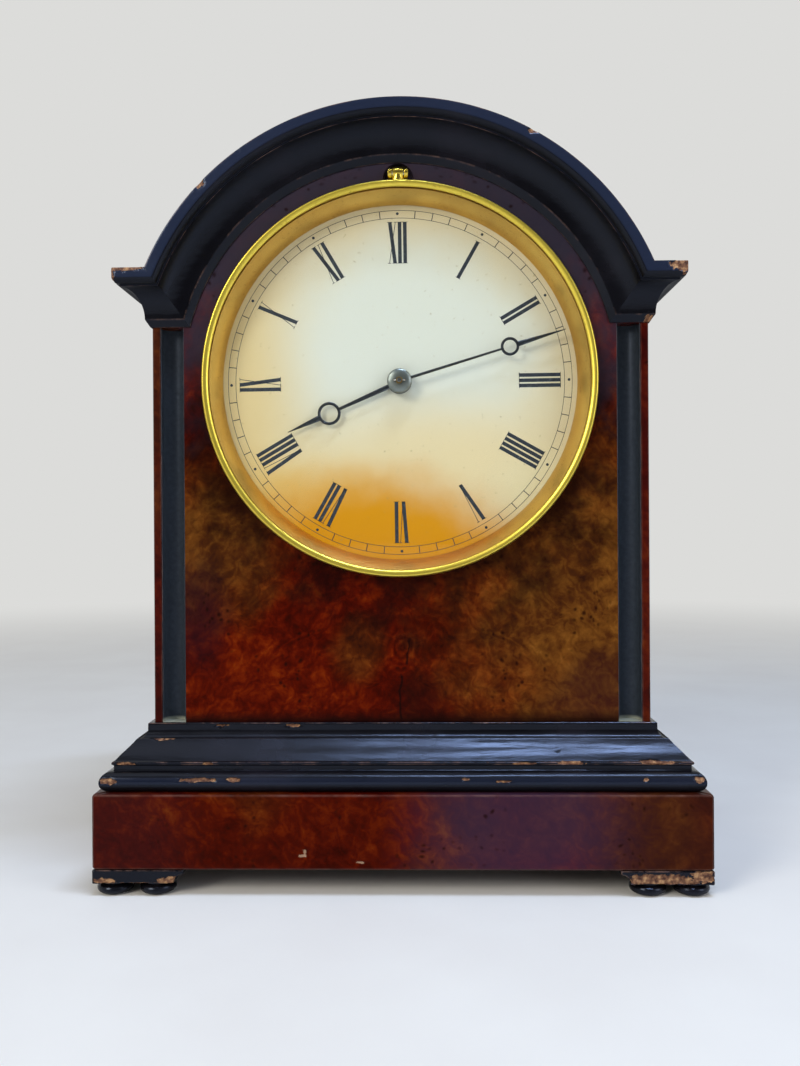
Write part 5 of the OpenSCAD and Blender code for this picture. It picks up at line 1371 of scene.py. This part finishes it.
def pale_floor():
    """Matte pale card that turns into the background far from the clock."""
    material = bpy.data.materials.new("pale_floor_card")
    material.use_nodes = True
    tree = material.node_tree
    tree.nodes.clear()
    place = add(tree, "TexCoord", out="Object")
    away = add(tree, "VectorMath", {"operation": "LENGTH"}, {0: place}, out="Value")
    far = add(tree, "MapRange", {"interpolation_type": "SMOOTHSTEP", "From Min": FADE_FROM,
                                 "From Max": FADE_TO}, {"Value": away})
    path = add(tree, "LightPath").node.outputs
    seen = add(tree, "Math", {"operation": "MAXIMUM"}, {0: path["Is Camera Ray"], 1: path["Is Glossy Ray"]})
    seen = add(tree, "Math", {"operation": "MAXIMUM"}, {0: seen, 1: path["Is Transmission Ray"]})
    far = add(tree, "Math", {"operation": "MULTIPLY"}, {0: far, 1: seen})
    mottle = add(tree, "TexNoise", {"Scale": per(60), "Detail": 3.0}, {"Vector": place})
    colour = add(tree, "ValToRGB", {"Stops": [(0.3, "#e5e2dc"), (0.7, "#eae8e2")]}, {"Fac": mottle})
    matte = add(tree, "BsdfPrincipled", {"Roughness": 0.75, "IOR": 1.45}, {"Base Color": colour})
    glow = add(tree, "Emission", {"Color": BACKGROUND, "Strength": 1.0})
    both = add(tree, "MixShader", links={0: far, 1: matte, 2: glow})
    add(tree, "OutputMaterial", links={"Surface": both})
    return material


floor_mesh = bpy.data.meshes.new("floor")
corners = [(FLOOR_REACH * x, FLOOR_REACH * y, 0) for x, y in ((-1, -1), (1, -1), (1, 1), (-1, 1))]
floor_mesh.from_pydata(corners, [], [(0, 1, 2, 3)])
floor_mesh.materials.append(pale_floor())
floor = bpy.data.objects.new("floor", floor_mesh)
bpy.context.scene.collection.objects.link(floor)
print("floor", 2 * FLOOR_REACH, "m wide, fading from", FADE_FROM, "to", FADE_TO, "m")

# %% [markdown]
# ## Background
# A dim even sky fills the shadows. What the camera sees behind the clock is a separate, brighter
# background, and polished pieces mirror that one too, because brass without a pale room round it
# would look black. A light path node tells the kinds of rays apart.

# %% Set the background
world = bpy.data.worlds.new("studio")
bpy.context.scene.world = world
world.use_nodes = True
tree = world.node_tree
tree.nodes.clear()
path = add(tree, "LightPath").node.outputs
seen = add(tree, "Math", {"operation": "MAXIMUM"}, {0: path["Is Camera Ray"], 1: path["Is Transmission Ray"]})
sky = add(tree, "Background", {"Color": "#e8eaee", "Strength": 0.33})
backdrop = add(tree, "Background", {"Color": BACKGROUND, "Strength": 1.0})
# Polished pieces see it all round, but dimmer on the camera's side of the room
heading = add(tree, "TexCoord", out="Generated")
heading = add(tree, "SeparateXYZ", links={0: heading}, out="Y")
dimmer = add(tree, "MapRange", {"From Min": -0.97, "From Max": -0.35, "To Min": 0.12, "To Max": 0.88},
             {"Value": heading})
mirrored = add(tree, "Background", {"Color": BACKGROUND}, {"Strength": dimmer})
both = add(tree, "MixShader", links={0: path["Is Glossy Ray"], 1: sky, 2: mirrored})
both = add(tree, "MixShader", links={0: seen, 1: both, 2: backdrop})
add(tree, "OutputWorld", links={"Surface": both})
print("background:", BACKGROUND)

# %% [markdown]
# ## Lamps
# Four soft rectangular lamps light the clock, at a level where a white card would look just white.
# The key stands in front at the left, a little above the clock, and a weaker lamp opens the shadows
# from the right. The skylight is a narrow strip above the clock, so that the polish of the base
# moulding mirrors it as one bluish line instead of turning grey all over.

# %% Hang the lamps
def lamp(name, place, target, size, power, colour):
    """A soft lamp that looks at a target, with its width and height in metres."""
    data = bpy.data.lights.new(name, "AREA")
    data.shape = "RECTANGLE"
    data.size, data.size_y = size
    data.energy = power
    data.color = linear(colour)[:3]
    light = bpy.data.objects.new(name, data)
    bpy.context.scene.collection.objects.link(light)
    light.location = place
    light.rotation_euler = (Vector(target) - Vector(place)).to_track_quat("-Z", "Y").to_euler()
    return light


MIDDLE = (0, 0, 0.13)
lamp("key", (-0.8, -0.95, 0.7), MIDDLE, (0.5, 0.5), 10.0, "#fffaf0")
lamp("window", (0.85, -0.5, 0.42), MIDDLE, (0.5, 0.6), 3.6, "#f2f5ff")
lamp("overhead", (-0.1, -0.28, 0.9), MIDDLE, (0.8, 0.35), 0.6, "#f2f5ff")
lamp("skylight", (0.15, -0.26, 0.9), (0.04, -0.05, 0.04), (0.46, 0.06), 5.0, "#c6dcff")
bpy.context.scene.view_settings.view_transform = "Standard"
